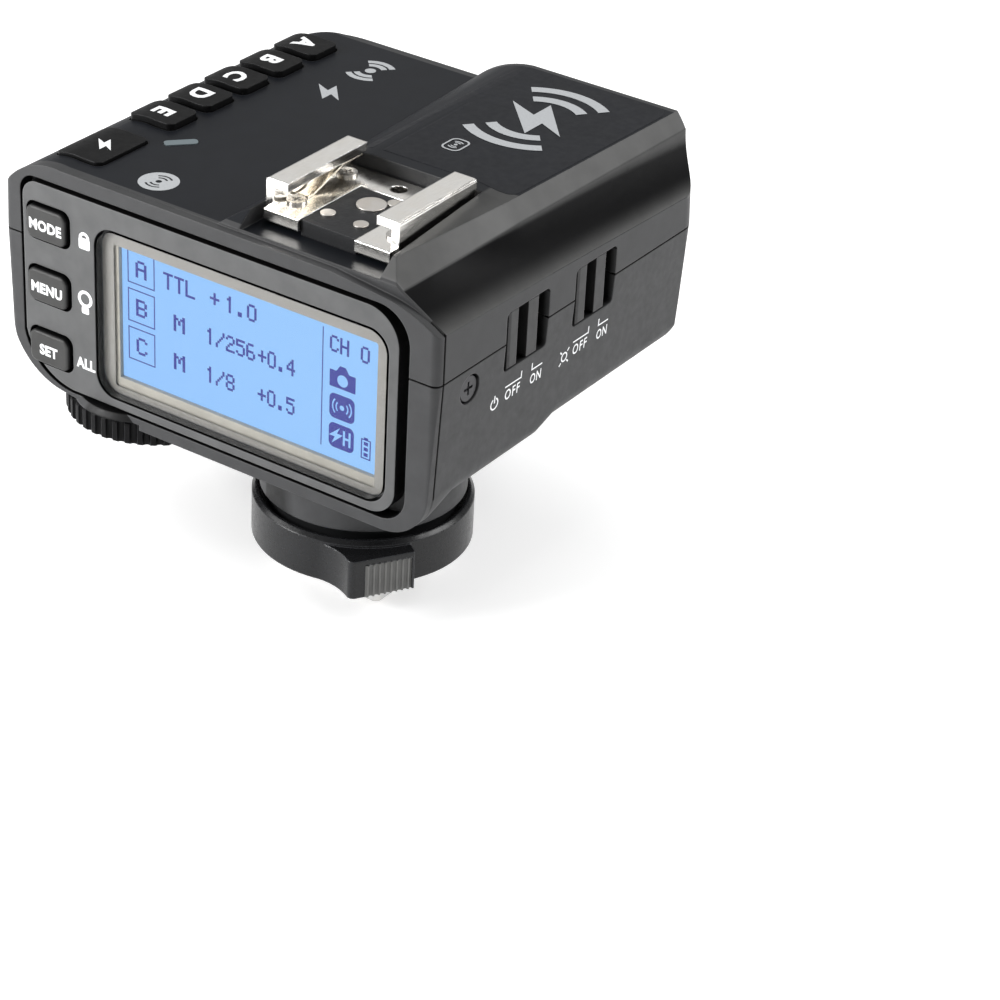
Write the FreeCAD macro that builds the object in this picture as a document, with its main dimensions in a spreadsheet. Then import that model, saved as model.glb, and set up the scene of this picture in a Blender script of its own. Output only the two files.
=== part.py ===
"""Wireless flash trigger, built as separate pieces in one document.

Frame: X to the right seen from behind, Y forward towards the subject, Z up, in millimetres.
The origin is the centre of the underside of the foot plate, which slides into a camera's shoe.
"""

import FreeCAD
import Part
import Sketcher

import math
import os
import re

from FreeCAD import Rotation, Vector

SIZES = {
    # housing
    "body_left": -49.9,
    "body_right": 21.2,
    "body_rear": -14.5,
    "body_front": 48.3,
    "seam_z": 39.0,
    "top_z": 50.0,
    "platform_z": 54.2,
    "platform_rear": 8.5,
    "floor_rear_z": 19.8,
    "floor_front_z": 21.0,
    "lip_z": 15.7,
    "wall": 1.6,
    "front_draft": 1.5,
    "front_left_radius": 14.0,
    "front_right_radius": 4.5,
    "rear_radius": 1.2,
    "fit_gap": 0.15,
    "seam_gap": 0.2,
    "seam_lip": 0.7,
    # rear face
    "panel_left": -46.3,
    "panel_right": 15.4,
    "panel_low": 18.0,
    "panel_high": 47.3,
    "panel_deep": 2.2,
    "lens_left": -33.8,
    "lens_right": 13.5,
    "lens_low": 19.4,
    "lens_high": 43.8,
    "lens_thick": 1.1,
    "lens_radius": 3.0,
    "lens_gap": 0.25,
    "lens_gap_far": 0.45,
    "lcd_left": -31.05,
    "lcd_right": 11.4,
    "lcd_low": 21.95,
    "lcd_high": 41.3,
    "face_button_x": -41.9,
    "face_button_z": 41.7,
    "face_button_pitch": 9.3,
    "face_button_wide": 6.8,
    "face_button_high": 4.8,
    "face_button_proud": 0.9,
    "face_button_deep": 1.8,
    "hole_gap": 0.4,
    # keys along the top left edge
    "key_x": -40.6,
    "key_wide": 7.6,
    "key_long": 5.9,
    "key_first_y": 38.9,
    "key_pitch": 7.85,
    "key_proud": 0.9,
    "test_key_y": -5.1,
    "test_key_long": 10.2,
    "lamp_x": -33.5,
    "lamp_y": 2.6,
    # slide switches in the right wall
    "slot_y": 5.45,
    "slot_pitch": 15.9,
    "slot_long": 9.8,
    "slot_high": 8.6,
    "slot_deep": 2.4,
    # accessory shoe on top
    "shoe_half": 10.45,
    "shoe_rear": -8.5,
    "shoe_front": 8.3,
    "shoe_wing": 1.1,
    "shoe_floor": 50.6,
    "shoe_deck": 52.2,
    "lip_low": 54.75,
    "shoe_top": 56.0,
    "shoe_wall": 1.2,
    "shoe_lip": 3.5,
    "channel_half": 11.0,
    # foot and lock ring
    "plate_wide": 18.5,
    "plate_long": 18.0,
    "plate_thick": 2.0,
    "neck_wide": 12.3,
    "ring_low": 4.3,
    "ring_high": 10.7,
    "ring_radius": 15.0,
    "hub_radius": 12.95,
    "collar_radius": 14.0,
    "collar_low": 11.8,
    "lever_radius": 18.6,
    "run_gap": 0.05,
    "pin_y": 5.9,
    "pin_radius": 0.95,
    # select dial
    "dial_x": -33.2,
    "dial_y": -3.0,
    "dial_radius": 12.6,
    "dial_low": 13.0,
    "dial_high": 16.2,
    "dial_teeth": 44,
    "shaft_radius": 1.5,
    "lobe_radius": 8.8,
    # battery bay
    "cell_radius": 7.15,
    "cell_long": 49.5,
    "cell_x": -13.5,
    "cell_y": 24.2,
    "cell_pitch": 14.5,
    "cell_z": 30.5,
    "door_left": -43.0,
    "door_right": 13.0,
    "door_rear": 17.4,
    "door_thick": 1.7,
}

doc = FreeCAD.newDocument("FlashTrigger")
sheet = doc.addObject("Spreadsheet::Sheet", "Sizes")
for row, (alias, number) in enumerate(SIZES.items(), start=1):
    sheet.set(f"A{row}", alias)
    sheet.set(f"B{row}", str(number))
    sheet.setAlias(f"B{row}", alias)
doc.recompute()

pieces = []


def size(alias):
    """One driving dimension, read back from the sheet."""
    return float(sheet.get(alias))


def link(text):
    """An expression with every alias in it pointed at the sheet."""
    return re.sub(r"[a-z_]+", lambda word: "Sizes." + word.group(), str(text))


def amount(text):
    """The number that an expression of aliases stands for."""
    spelled = re.sub(r"[a-z_]+", lambda word: f"({size(word.group())})", str(text))
    return float(FreeCAD.Units.Quantity(spelled).Value)


def put(item, corner):
    """Binds an object's place to three expressions."""
    for axis, text in zip("xyz", corner):
        item.setExpression(f".Placement.Base.{axis}", link(text))
    return item


def keep(item, name):
    """Marks an object as a finished sub-part, whose Label names its file."""
    item.Label = name
    pieces.append(item)
    return item


def block(low, high):
    """A box between two corners, each given as three expressions."""
    item = doc.addObject("Part::Box", "Block")
    for side, near, far in zip(("Length", "Width", "Height"), low, high):
        item.setExpression(side, link(f"({far}) - ({near})"))
    return put(item, low)


TURNS = {
    "z": Rotation(),
    "y": Rotation(Vector(1, 0, 0), -90),
    "x": Rotation(Vector(0, 1, 0), 90),
}


def rod(start, radius, length, axis="z"):
    """A cylinder from its start point along an axis."""
    item = doc.addObject("Part::Cylinder", "Rod")
    item.Placement.Rotation = TURNS[axis]
    item.setExpression("Radius", link(radius))
    item.setExpression("Height", link(length))
    return put(item, start)


def joined(*items):
    item = doc.addObject("Part::MultiFuse", "Joined")
    item.Shapes = list(items)
    item.Refine = True
    return item


def cut(base, *tools):
    item = doc.addObject("Part::Cut", "Cut")
    item.Base = base
    item.Tool = tools[0] if len(tools) == 1 else joined(*tools)
    return item


def formed(shape):
    """An object for a shape that neither a sketch nor a primitive makes."""
    item = doc.addObject("Part::Feature", "Formed")
    item.Shape = shape
    return item


def design_body(start, axis):
    body = doc.addObject("PartDesign::Body", "Body")
    body.Placement.Rotation = TURNS[axis]
    return put(body, start)


def new_sketch(body):
    sketch = body.newObject("Sketcher::SketchObject", "Sketch")
    plane = next(p for p in body.Origin.OriginFeatures if p.Role == "XY_Plane")
    sketch.AttachmentSupport = [(plane, "")]
    sketch.MapMode = "FlatFace"
    return sketch


def bound(sketch, kind, *arguments):
    """Adds a dimension to a sketch and binds it to the expression given last."""
    number = amount(arguments[-1])
    index = sketch.addConstraint(Sketcher.Constraint(kind, *arguments[:-1], number))
    sketch.setExpression(f"Constraints[{index}]", link(arguments[-1]))


def pad(body, sketch, length):
    item = body.newObject("PartDesign::Pad", "Pad")
    item.Profile = sketch
    item.setExpression("Length", link(length))
    sketch.Visibility = False
    return item


def turned(start, radius, length, axis="z", bore=None):
    """A round piece, padded from a circle, with a bore where one is given."""
    body = design_body(start, axis)
    sketch = new_sketch(body)
    for number, text in enumerate([radius] + ([bore] if bore else [])):
        sketch.addGeometry(Part.Circle(Vector(), Vector(0, 0, 1), amount(text)), False)
        sketch.addConstraint(Sketcher.Constraint("Coincident", number, 3, -1, 1))
        bound(sketch, "Radius", number, text)
    pad(body, sketch, length)
    return body


def slab(start, wide, high, thick, axis="z", corner=None, edge=None):
    """A plate padded from a centred rectangle, with rounded corners and a softened far edge."""
    body = design_body(start, axis)
    sketch = new_sketch(body)
    u, v = amount(wide) / 2, amount(high) / 2
    corners = [Vector(-u, -v), Vector(u, -v), Vector(u, v), Vector(-u, v)]
    for a, b in zip(corners, corners[1:] + corners[:1]):
        sketch.addGeometry(Part.LineSegment(a, b), False)
    for side in range(4):
        sketch.addConstraint(Sketcher.Constraint("Coincident", side, 2, (side + 1) % 4, 1))
        sketch.addConstraint(Sketcher.Constraint("Vertical" if side % 2 else "Horizontal", side))
    sketch.addConstraint(Sketcher.Constraint("Symmetric", 0, 1, 1, 2, -1, 1))
    bound(sketch, "DistanceX", 0, 1, 0, 2, wide)
    bound(sketch, "DistanceY", 1, 1, 1, 2, high)
    last = pad(body, sketch, thick)
    doc.recompute()
    if corner:
        last = rounded(body, last, lambda e: abs(direction(e).z) > 0.99, corner)
    if edge:
        top = last.Shape.BoundBox.ZMax
        last = rounded(body, last, lambda e: e.BoundBox.ZMin > top - 1e-6, edge)
    return body


def direction(edge):
    return edge.tangentAt(edge.FirstParameter)


def rounded(body, feature, wanted, radius):
    """A PartDesign fillet on the edges of a feature that answer a question."""
    names = [f"Edge{i}" for i, e in enumerate(feature.Shape.Edges, start=1) if wanted(e)]
    item = body.newObject("PartDesign::Fillet", "Round")
    item.Base = (feature, names)
    item.setExpression("Radius", link(radius))
    doc.recompute()
    return item


# ---------------------------------------------------------------- outlines of the housing

def outline(points, axis, offset):
    """A closed wire through (u, v) points in a plane across X, Y or Z; three points make an arc."""
    spots = {
        "x": lambda u, v: Vector(offset, u, v),
        "y": lambda u, v: Vector(u, offset, v),
        "z": lambda u, v: Vector(u, v, offset),
    }[axis]
    edges = []
    for step in points:
        ends = [spots(*point) for point in step]
        edges.append(Part.Arc(*ends).toShape() if len(ends) == 3 else Part.makeLine(*ends))
    return Part.Wire(edges)


def path(*stops):
    """Steps from stop to stop, closed; a stop given as a pair of points is an arc's middle and end."""
    steps, here = [], stops[0]
    for stop in list(stops[1:]) + [stops[0]]:
        arc = isinstance(stop[0], tuple)
        end = stop[1] if arc else stop
        steps.append((here, stop[0], end) if arc else (here, end))
        here = end
    return steps


def rectangle(left, right, low, high, radii):
    """A rectangle's path; radii are for its low left, low right, high right and high left corners."""
    corners = [(left, low), (right, low), (right, high), (left, high)]
    turns = [(1, 1), (-1, 1), (-1, -1), (1, -1)]
    stops = []
    for number, ((x, y), (sx, sy), r) in enumerate(zip(corners, turns, radii)):
        slack = r * (1 - math.sqrt(0.5))
        along, up = (x + sx * r, y), (x, y + sy * r)
        first, last = (up, along) if number % 2 == 0 else (along, up)
        stops += [first, ((x + sx * slack, y + sy * slack), last)]
    return path(*stops)


def prism(points, axis, start, end):
    """A solid from a closed path, swept straight between two offsets along an axis."""
    wire = outline(points, axis, start)
    way = {"x": Vector(1, 0, 0), "y": Vector(0, 1, 0), "z": Vector(0, 0, 1)}[axis]
    return Part.Face(wire).extrude(way * (end - start))


def loft(stations, axis):
    """A solid ruled between (offset, path) stations."""
    return Part.makeLoft([outline(points, axis, offset) for offset, points in stations], True, True)


LEFT, RIGHT = size("body_left"), size("body_right")
REAR, FRONT = size("body_rear"), size("body_front")
SEAM, TOP, PLATFORM = size("seam_z"), size("top_z"), size("platform_z")
FLOOR_REAR, FLOOR_FRONT, LIP = size("floor_rear_z"), size("floor_front_z"), size("lip_z")
WALL, STEP = size("wall"), size("platform_rear")
TAPER = 0.8
LOW_RIGHT = RIGHT - TAPER


def top_section(crease, bulge, left, right, shoulder, dip, side):
    """The top cover across Y: rounded left edge, gentle rise to the platform, sloped right flank."""
    return path((LEFT, SEAM), (LEFT, SEAM + 6), ((LEFT + 3.3, TOP - 1.6), (LEFT + 10.3, TOP)),
                (crease, TOP), (bulge, left), right, shoulder, (dip, (RIGHT, side)), (RIGHT, SEAM))


def top_envelope():
    rim = prism(path((LEFT, SEAM), (LEFT, SEAM + 6), ((LEFT + 3.3, TOP - 1.6), (LEFT + 10.3, TOP)),
                     (4.4, TOP - 0.2), (12.1, TOP - 1.1), ((17.4, TOP - 2.3), (RIGHT, TOP - 4.3)),
                     (RIGHT, SEAM)), "y", REAR, REAR + 1.3)
    high = PLATFORM
    ridge = loft([
        (REAR + 1.2, top_section(-14.4, (-12.8, 51.2), (-11.0, 52.2), (11.0, 52.2),
                                 (14.5, 49.7), (17.9, 47.8), TOP - 4.2)),
        (STEP, top_section(-13.8, (-11.2, 52.6), (-6.5, high), (15.2, high),
                           (17.0, 51.7), (18.7, 47.7), TOP - 4.8)),
        (FRONT + 1, top_section(-16.4, (-12.2, 52.8), (-6.8, high), (16.8, high),
                                (18.4, 52.0), (19.4, 46.6), TOP - 6.4)),
    ], "y")
    slant = prism(path((REAR + 0.9, TOP), (REAR + 4.4, TOP + 2.8), (REAR + 4.4, TOP + 6),
                       (REAR - 1, TOP + 6), (REAR - 1, TOP)), "x", LEFT, RIGHT)
    plan = loft([(SEAM - 0.01, plan_path(0.0)), (SEAM + 18, plan_path(size("front_draft")))], "z")
    solid = rim.fuse(ridge.cut(slant)).common(plan)
    return solid.removeSplitter()


def plan_path(draft):
    """The housing seen from above, its front and left pulled in by the draft."""
    r = size("rear_radius")
    return rectangle(LEFT + draft * 0.3, RIGHT, REAR, FRONT - draft,
                     (r, r, size("front_right_radius"), size("front_left_radius")))


def low_section(floor, turn):
    """The bottom cover across Y: sides that lean in, a wide left turn, a flat floor, a tight right turn."""
    left_turn = ((LEFT + 3.0, floor + 0.36 * turn), (LEFT + 8.3, floor + 0.1))
    right_turn = ((LOW_RIGHT - 0.95, floor + 0.95), (LOW_RIGHT, floor + 3.3))
    return path((LEFT, SEAM), (LEFT + TAPER, floor + turn), left_turn,
                (-30.0, floor), (LOW_RIGHT - 3.3, floor), right_turn, (RIGHT, SEAM))


def lip_section():
    """The rear rim's section, which hangs below the floor and has wider turns."""
    return path((LEFT, SEAM), (LEFT + TAPER, LIP + 9.3), ((LEFT + 3.4, LIP + 4.5), (LEFT + 9.3, LIP + 1.4)),
                (-30.0, LIP), (LOW_RIGHT - 7.2, LIP), ((LOW_RIGHT - 2.1, LIP + 2.1), (LOW_RIGHT, LIP + 7.2)),
                (RIGHT, SEAM))


def low_envelope():
    turn = 6.2
    shallow, deep = low_section(FLOOR_FRONT, turn), low_section(FLOOR_REAR, turn)
    solid = loft([(REAR, lip_section()), (REAR + 2.3, lip_section()), (REAR + 6.5, deep), (11.0, deep),
                  (15.0, shallow), (FRONT + 1, shallow)], "y")
    plan = loft([(SEAM + 0.01, plan_path(0.0)), (LIP - 4, plan_path(2.9))], "z")
    below = LIP - 4
    chin = prism(path((FRONT - 5.7, FLOOR_FRONT), (FRONT - 1.6, FLOOR_FRONT + 4.6),
                      (FRONT + 4, FLOOR_FRONT + 4.6), (FRONT + 4, below), (FRONT - 5.7, below)),
                 "x", LEFT, RIGHT)
    return solid.common(plan).cut(chin)


def opening(grow, start, end, grow_right=0.0):
    """The face plate's outline, grown on every side, as a cutter or a plate."""
    left, right = size("panel_left") - grow, size("panel_right") + grow + grow_right
    low, high = size("panel_low") - grow, size("panel_high") + grow
    points = path((left, low + 7), ((left + 2.7, low + 2.4), (left + 8.3, low)), (right - 4, low),
                  ((right - 1.17, low + 1.17), (right, low + 4)), (right, high - 5),
                  ((right - 1.46, high - 1.46), (right - 5, high)), (left + 2.5, high),
                  ((left + 0.73, high - 0.73), (left, high - 2.5)))
    return prism(points, "y", start, end)


def bay_cutter():
    """The hollow inside both covers."""
    start, end, floor = REAR + 2.3, FRONT - WALL, FLOOR_FRONT + 1.9
    low = prism(path((LEFT + 1.8, SEAM), (LEFT + 2.5, 28.5), (-42.5, floor), (16.4, floor),
                     (18.5, 25.2), (RIGHT - WALL, SEAM)), "y", start, end)
    well = Part.makeBox(57, 22, 3, Vector(-42, start, FLOOR_REAR + 1.7))
    profile = prism(path((start, SEAM), (end, SEAM), (FRONT - 2.0, 28.5), (FRONT - 6.4, floor),
                         (FRONT - 6.4, FLOOR_REAR), (start, FLOOR_REAR)), "x", LEFT, RIGHT)
    high = prism(path((LEFT + WALL, SEAM), (LEFT + WALL, SEAM + 5.5), (LEFT + 5.3, TOP - 2.5),
                      (LEFT + 10.8, TOP - WALL), (5.0, TOP - WALL), (13.0, TOP - 3.1), (17.2, TOP - 4.4),
                      (RIGHT - WALL, TOP - 6.7), (RIGHT - WALL, SEAM)), "y", start, FRONT - 1.9)
    peak = Part.makeBox(20, 33, 4.5, Vector(-5.0, STEP + 2, TOP - WALL - 0.5))
    r = size("front_left_radius") - WALL
    inner = rectangle(LEFT + WALL, RIGHT - WALL, start, end, (1.5, 1.5, 3.0, r))
    inside = prism(inner, "z", LIP, PLATFORM)
    return low.common(profile).fuse([well, high, peak]).common(inside)


# ---------------------------------------------------------------- covers and battery door

def solid_rod(x, y, z, radius, length, way):
    return Part.makeCylinder(radius, length, Vector(x, y, z), way)


UP, BACK, OUT = Vector(0, 0, 1), Vector(0, -1, 0), Vector(1, 0, 0)
KEYS = "edcba"
key_places = {f"group_key_{letter}": (f"key_first_y - {4 - step} * key_pitch", "key_long")
              for step, letter in enumerate(KEYS)}
key_places["test_button"] = ("test_key_y", "test_key_long")
GAP = size("fit_gap")


def key_box(y, long, grow, low, high):
    """A key's upright box, grown on every side; its long corners are rounded."""
    x, wide = size("key_x"), size("key_wide") + 2 * grow
    reach = long + 2 * grow
    r = 1.0 + grow
    points = rectangle(x - wide / 2, x + wide / 2, y - reach / 2, y + reach / 2, (r, r, r, r))
    return prism(points, "z", low, high)


def switch_box(step, grow):
    start = size("slot_y") - size("slot_long") / 2 + step * size("slot_pitch")
    low = SEAM - size("slot_high") / 2
    points = rectangle(start - grow, start + size("slot_long") + grow, low - grow,
                       low + size("slot_high") + grow, (0.8, 0.8, 0.8, 0.8))
    return prism(points, "x", RIGHT - size("slot_deep"), RIGHT + 1)


def lamp_solid(grow, low, high):
    """The status lamp's slanted slot."""
    points = rectangle(-2.3 - grow, 2.3 + grow, -0.75 - grow, 0.75 + grow, (0.6, 0.6, 0.6, 0.6))
    solid = prism(points, "z", low, high)
    solid.rotate(Vector(), UP, 48)
    solid.translate(Vector(size("lamp_x"), size("lamp_y"), 0))
    return solid


def assist_solid(grow, start, end):
    """The focus assist window in the front wall."""
    return prism(rectangle(-16 - grow, 5 + grow, 41 - grow, 47.4 + grow, (2, 2, 2, 2)), "y", start, end)


bay = bay_cutter()
rear_opening = opening(0.6, REAR - 1, REAR + 2.4, 0.9)
switch_slots = [switch_box(step, 0) for step in range(2)]
screw_y, screw_z = -7.0, 35.7
screw_seats = []
for wall_x, way in ((RIGHT, OUT), (LEFT, -OUT)):
    screw_seats.append(solid_rod(wall_x - way.x * 1.1, screw_y, screw_z, 2.1, 3, way))
    screw_seats.append(solid_rod(wall_x - way.x * 4, screw_y, screw_z, 0.9, 5, way))
ports = [prism(rectangle(-1.55, 7.75, 30.25, 33.75, (1.6, 1.6, 1.6, 1.6)), "x", LEFT - 1, LEFT + 3),
         solid_rod(LEFT - 1, 12.5, 33.2, 2.6, 4, OUT)]
POSTS = [(x, y) for x in (-20.0, 9.0) for y in (-2.0, 13.5)]
groove_depth = 0.35
corner_groove = prism(path((RIGHT - groove_depth, TOP - 3.8), (LOW_RIGHT - groove_depth, FLOOR_REAR + 2.2),
                           (LOW_RIGHT + 1, FLOOR_REAR + 2.2), (RIGHT + 1, TOP - 3.8)),
                      "y", REAR + 1.2, REAR + 1.5)

channel_rear = REAR + 1.3
channel = Part.makeBox(2 * size("channel_half"), size("shoe_front") + 0.4 - channel_rear, 8,
                       Vector(-size("channel_half"), channel_rear, TOP - 0.05))
top = top_envelope().cut([bay, rear_opening, channel, corner_groove] + switch_slots)
for y, long in key_places.values():
    top = top.cut(key_box(amount(y), amount(long), 0.25, TOP - 6, TOP + 3))
top = top.cut([lamp_solid(0.05, TOP - 4, TOP + 2), assist_solid(GAP, FRONT - 8, FRONT + 1)])
top = top.cut([solid_rod(sx * 7.9, sy * 5.4, TOP - 4, 0.75, 6, UP) for sx in (-1, 1) for sy in (-1, 1)])
keep(formed(top), "top_cover")

door_wide, door_roof = size("door_right") - size("door_left"), FLOOR_FRONT + size("door_thick") + 0.1
door_well = Part.makeBox(door_wide, 40, 8, Vector(size("door_left"), size("door_rear"), door_roof - 8))
door_chin = Part.makeBox(door_wide, 20, 14, Vector(size("door_left"), FRONT - 6.3, 12.2))
collar = solid_rod(0, 0, size("collar_low"), size("collar_radius"), FLOOR_REAR + 0.5 - size("collar_low"), UP)
dial_spot = Vector(size("dial_x"), size("dial_y"), 0)
lobe = Part.makeCone(size("lobe_radius") + 0.1, size("lobe_radius") - 2.6, 4.5,
                     dial_spot + Vector(0.3, -4.1, size("dial_high") + 0.3))
boss = solid_rod(dial_spot.x, dial_spot.y, size("dial_high") + 0.3, size("dial_radius") - 1.2,
                 FLOOR_REAR + 0.3 - size("dial_high"), UP)
dial_room = solid_rod(dial_spot.x, dial_spot.y, LIP - 3, size("dial_radius") + 0.5,
                      size("dial_high") + 0.3 - LIP + 3, UP)
shaft_hole = solid_rod(dial_spot.x, dial_spot.y, LIP - 3, size("shaft_radius") + size("run_gap"), 20, UP)
pin_hole = solid_rod(0, size("pin_y"), LIP - 6, 1.6, 20, UP)
wire_hole = solid_rod(0, 0, LIP - 6, 3.4, 20, UP)
posts = [solid_rod(x, y, FLOOR_REAR + 1.6, 2.2, SEAM - 0.8 - FLOOR_REAR - 1.6, UP) for x, y in POSTS]
post_bores = [solid_rod(x, y, SEAM - 7, 0.7, 8, UP) for x, y in POSTS]
low = low_envelope().fuse([collar, boss, lobe]).cut(bay).fuse(posts)
low = low.cut(post_bores + [rear_opening, door_well, door_chin, dial_room, shaft_hole, pin_hole, wire_hole])
low = low.cut(switch_slots + screw_seats + ports + [assist_solid(GAP, FRONT - 8, FRONT + 1), corner_groove])
lower = Part.makeBox(120, 90, 40, Vector(-60, -30, SEAM - 40))
lip = size("seam_lip")
inside_line = rectangle(LEFT + lip, RIGHT - lip, REAR + lip, FRONT - lip,
                        (0.5, 0.5, size("front_right_radius") - lip, size("front_left_radius") - lip))
seam_groove = Part.makeBox(120, 90, 1, Vector(-60, -30, SEAM - size("seam_gap")))
seam_groove = seam_groove.cut(prism(inside_line, "z", SEAM - 1, SEAM + 1))
keep(formed(low.common(lower).cut(seam_groove)), "bottom_cover")

door = low_envelope().cut(bay).common(door_well.fuse(door_chin))
trim = Part.makeBox(door_wide - 2 * GAP, 40, 14,
                    Vector(size("door_left") + GAP, size("door_rear") + GAP, 12))
keep(formed(door.common(trim)), "battery_door")


# ---------------------------------------------------------------- rear face

panel = opening(0.0, REAR - 0.2, REAR + 2.4)
flange = prism(path((LEFT + 3.1, 28.4), (LEFT + 6.7, 23.2), (15.5, 23.0), (18.2, 25.6), (18.2, 44.2),
                    (17.0, 45.4), (12.8, 46.7), (4.8, 48.2), (LEFT + 10.7, 48.2), (LEFT + 5.2, 47.3),
                    (LEFT + 3.1, 45.2)), "y", REAR + 2.4, REAR + 3.2)
near, far = size("lens_gap"), size("lens_gap_far")
seat_turns = [size("lens_radius") + 0.2] * 4
lens_seat = prism(rectangle(size("lens_left") - near, size("lens_right") + far, size("lens_low") - near,
                            size("lens_high") + far, seat_turns), "y", REAR - 1, REAR + 1.2)
view_hole = Part.makeBox(44.6, 6, 22.0, Vector(size("lens_left") + 1.6, REAR - 1, size("lens_low") + 0.8))
panel = panel.fuse(flange).cut([lens_seat, view_hole])
BUTTONS = ("mode_button", "menu_button", "set_button")
for step in range(3):
    x, z = size("face_button_x"), size("face_button_z") - step * size("face_button_pitch")
    u = size("face_button_wide") / 2 + size("hole_gap")
    v = size("face_button_high") / 2 + size("hole_gap")
    button_hole = rectangle(x - u, x + u, z - v, z + v, (1.4, 1.4, 1.4, 1.4))
    panel = panel.cut(prism(button_hole, "y", REAR - 1, REAR + 4))
keep(formed(panel), "rear_panel")

lens_middle = ("(lens_left + lens_right) / 2", "body_rear - 0.05", "(lens_low + lens_high) / 2")
lens = slab(lens_middle, "lens_right - lens_left", "lens_high - lens_low", "lens_thick", "y", "lens_radius")
keep(lens, "display_lens")

light_box = block(("lens_left + 1.7", "body_rear + 2.1", "lens_low + 2.2"),
                  ("lens_right - 1.2", "body_rear + 4.4", "lens_high - 1.8"))
light_rim = block(("lens_left + 1.7", "body_rear + 1.45", "lens_low + 0.9"),
                  ("lens_right - 1.2", "body_rear + 2.2", "lens_high - 1.8"))
light_gap = block(("lcd_left - fit_gap", "body_rear", "lcd_low - fit_gap"),
                  ("lcd_right + fit_gap", "body_rear + 3.0", "lcd_high + fit_gap"))
keep(cut(joined(light_box, light_rim), light_gap), "lcd_frame")
display = block(("lcd_left", "body_rear + 1.9", "lcd_low"), ("lcd_right", "body_rear + 2.9", "lcd_high"))
keep(display, "lcd_panel")

for step, name in enumerate(BUTTONS):
    z = f"face_button_z - {step} * face_button_pitch"
    cap = slab(("face_button_x", "body_rear + face_button_deep", z), "face_button_wide", "face_button_high",
               "face_button_deep + face_button_proud", "y", "1.1", "0.45")
    cap.Placement.Rotation = Rotation(Vector(1, 0, 0), 90)
    stem = block(("face_button_x - 0.4", "body_rear + face_button_deep - 0.1", f"{z} - 0.1"),
                 ("face_button_x + 3.1", "body_rear + 4.15", f"{z} + 2.1"))
    keep(joined(cap, stem), name)

# ---------------------------------------------------------------- keys, lamp, switches

for name, (y, long) in key_places.items():
    spot, length = amount(y), amount(long)
    raised = top_envelope()
    raised.translate(Vector(0, 0, size("key_proud") if name != "test_button" else 0.45))
    cap = key_box(spot, length, 0, TOP - 3.1, TOP + 2).common(raised)
    skirt_left = size("key_x") - size("key_wide") / 2 - 0.45
    skirt = Part.makeBox(size("key_wide") + 0.9, length + 0.7, 0.7,
                         Vector(skirt_left, spot - length / 2 - 0.35, TOP - 3.7))
    keep(formed(cap.fuse(skirt).removeSplitter()), name)

keep(formed(lamp_solid(0, TOP - 2.6, TOP + 0.1)), "status_lamp")
assist_rim = assist_solid(0.7, FRONT - 2.7, FRONT - 2.0)
keep(formed(assist_solid(0, FRONT - 2.6, FRONT - 0.9).fuse(assist_rim)), "assist_lens")

for step, name in enumerate(("power_switch", "assist_lamp_switch")):
    start = f"slot_y - slot_long / 2 + {step} * slot_pitch"
    base = block(("body_right - 3.2", f"{start} - 2.3", "seam_z - 5.2"),
                 ("body_right - 2.15", f"{start} + slot_long + 0.3", "seam_z + 4.2"))
    stem = block(("body_right - 4.4", f"{start} + 2.6", "seam_z - 1.5"),
                 ("body_right - 3.1", f"{start} + 5.2", "seam_z + 1.5"))
    ribs = [block(("body_right - 2.2", f"{start} + {near}", "seam_z - slot_high / 2 + 0.3"),
                  ("body_right - 0.25", f"{start} + {far}", "seam_z + slot_high / 2 - 0.3"))
            for near, far in ((0.7, 2.9), (5.2, 7.5))]
    keep(joined(base, stem, *ribs), name)
    socket = block(("body_right - 8.4", f"{start} - 0.6", "seam_z - 3.2"),
                   ("body_right - 3.5", f"{start} + 9.6", "seam_z + 3.2"))
    throat = block(("body_right - 4.6", f"{start} + 2.3", "seam_z - 1.8"),
                   ("body_right - 3", f"{start} + 7.6", "seam_z + 1.8"))
    keep(cut(socket, throat), ("power_switch_body", "assist_switch_body")[step])

# ---------------------------------------------------------------- accessory shoe on top

floor = ("-shoe_half", "shoe_rear - shoe_wing", "shoe_floor"), ("shoe_half", "shoe_front", "shoe_deck")
walls = []
for s, t in ((-1, 0), (1, 1)):
    for reach, base in (("shoe_wall", "shoe_floor"), ("shoe_lip", "lip_low")):
        walls.append(block((f"{s} * shoe_half - {t} * {reach}", "shoe_rear", base),
                           (f"{s} * shoe_half + {1 - t} * {reach}", "shoe_front", "shoe_top")))
rail = joined(block(*floor), *walls)
window = block(("-4.4", "shoe_rear - 3", "shoe_floor - 1"), ("4.4", "3.6", "shoe_deck + 1"))
notches = [block((f"{x} - 0.5", "shoe_rear - 3", "shoe_floor - 1"),
                 (f"{x} + 0.5", "shoe_rear", "shoe_deck + 5")) for x in ("-shoe_half", "shoe_half")]
eye = rod(("0", "pin_y", "shoe_floor - 1"), "1.1", "4")
SHOE_SCREWS = [(x, y) for x in (-7.9, 7.9) for y in (-5.4, 5.4)]
seats = [rod((f"{x}", f"{y}", "shoe_floor - 1"), "0.8", "4") for x, y in SHOE_SCREWS]
rail = cut(rail, window, eye, *notches, *seats)
doc.recompute()
soft = doc.addObject("Part::Fillet", "Soft")
soft.Base = rail
soft.Edges = [(number, 0.5, 0.5) for number, e in enumerate(rail.Shape.Edges, start=1)
              if abs(direction(e).y) > 0.99 and e.BoundBox.ZMin > size("shoe_top") - 0.01
              and abs(e.BoundBox.XMin) > size("shoe_half") - 0.01]
keep(soft, "shoe_rails")

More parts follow.
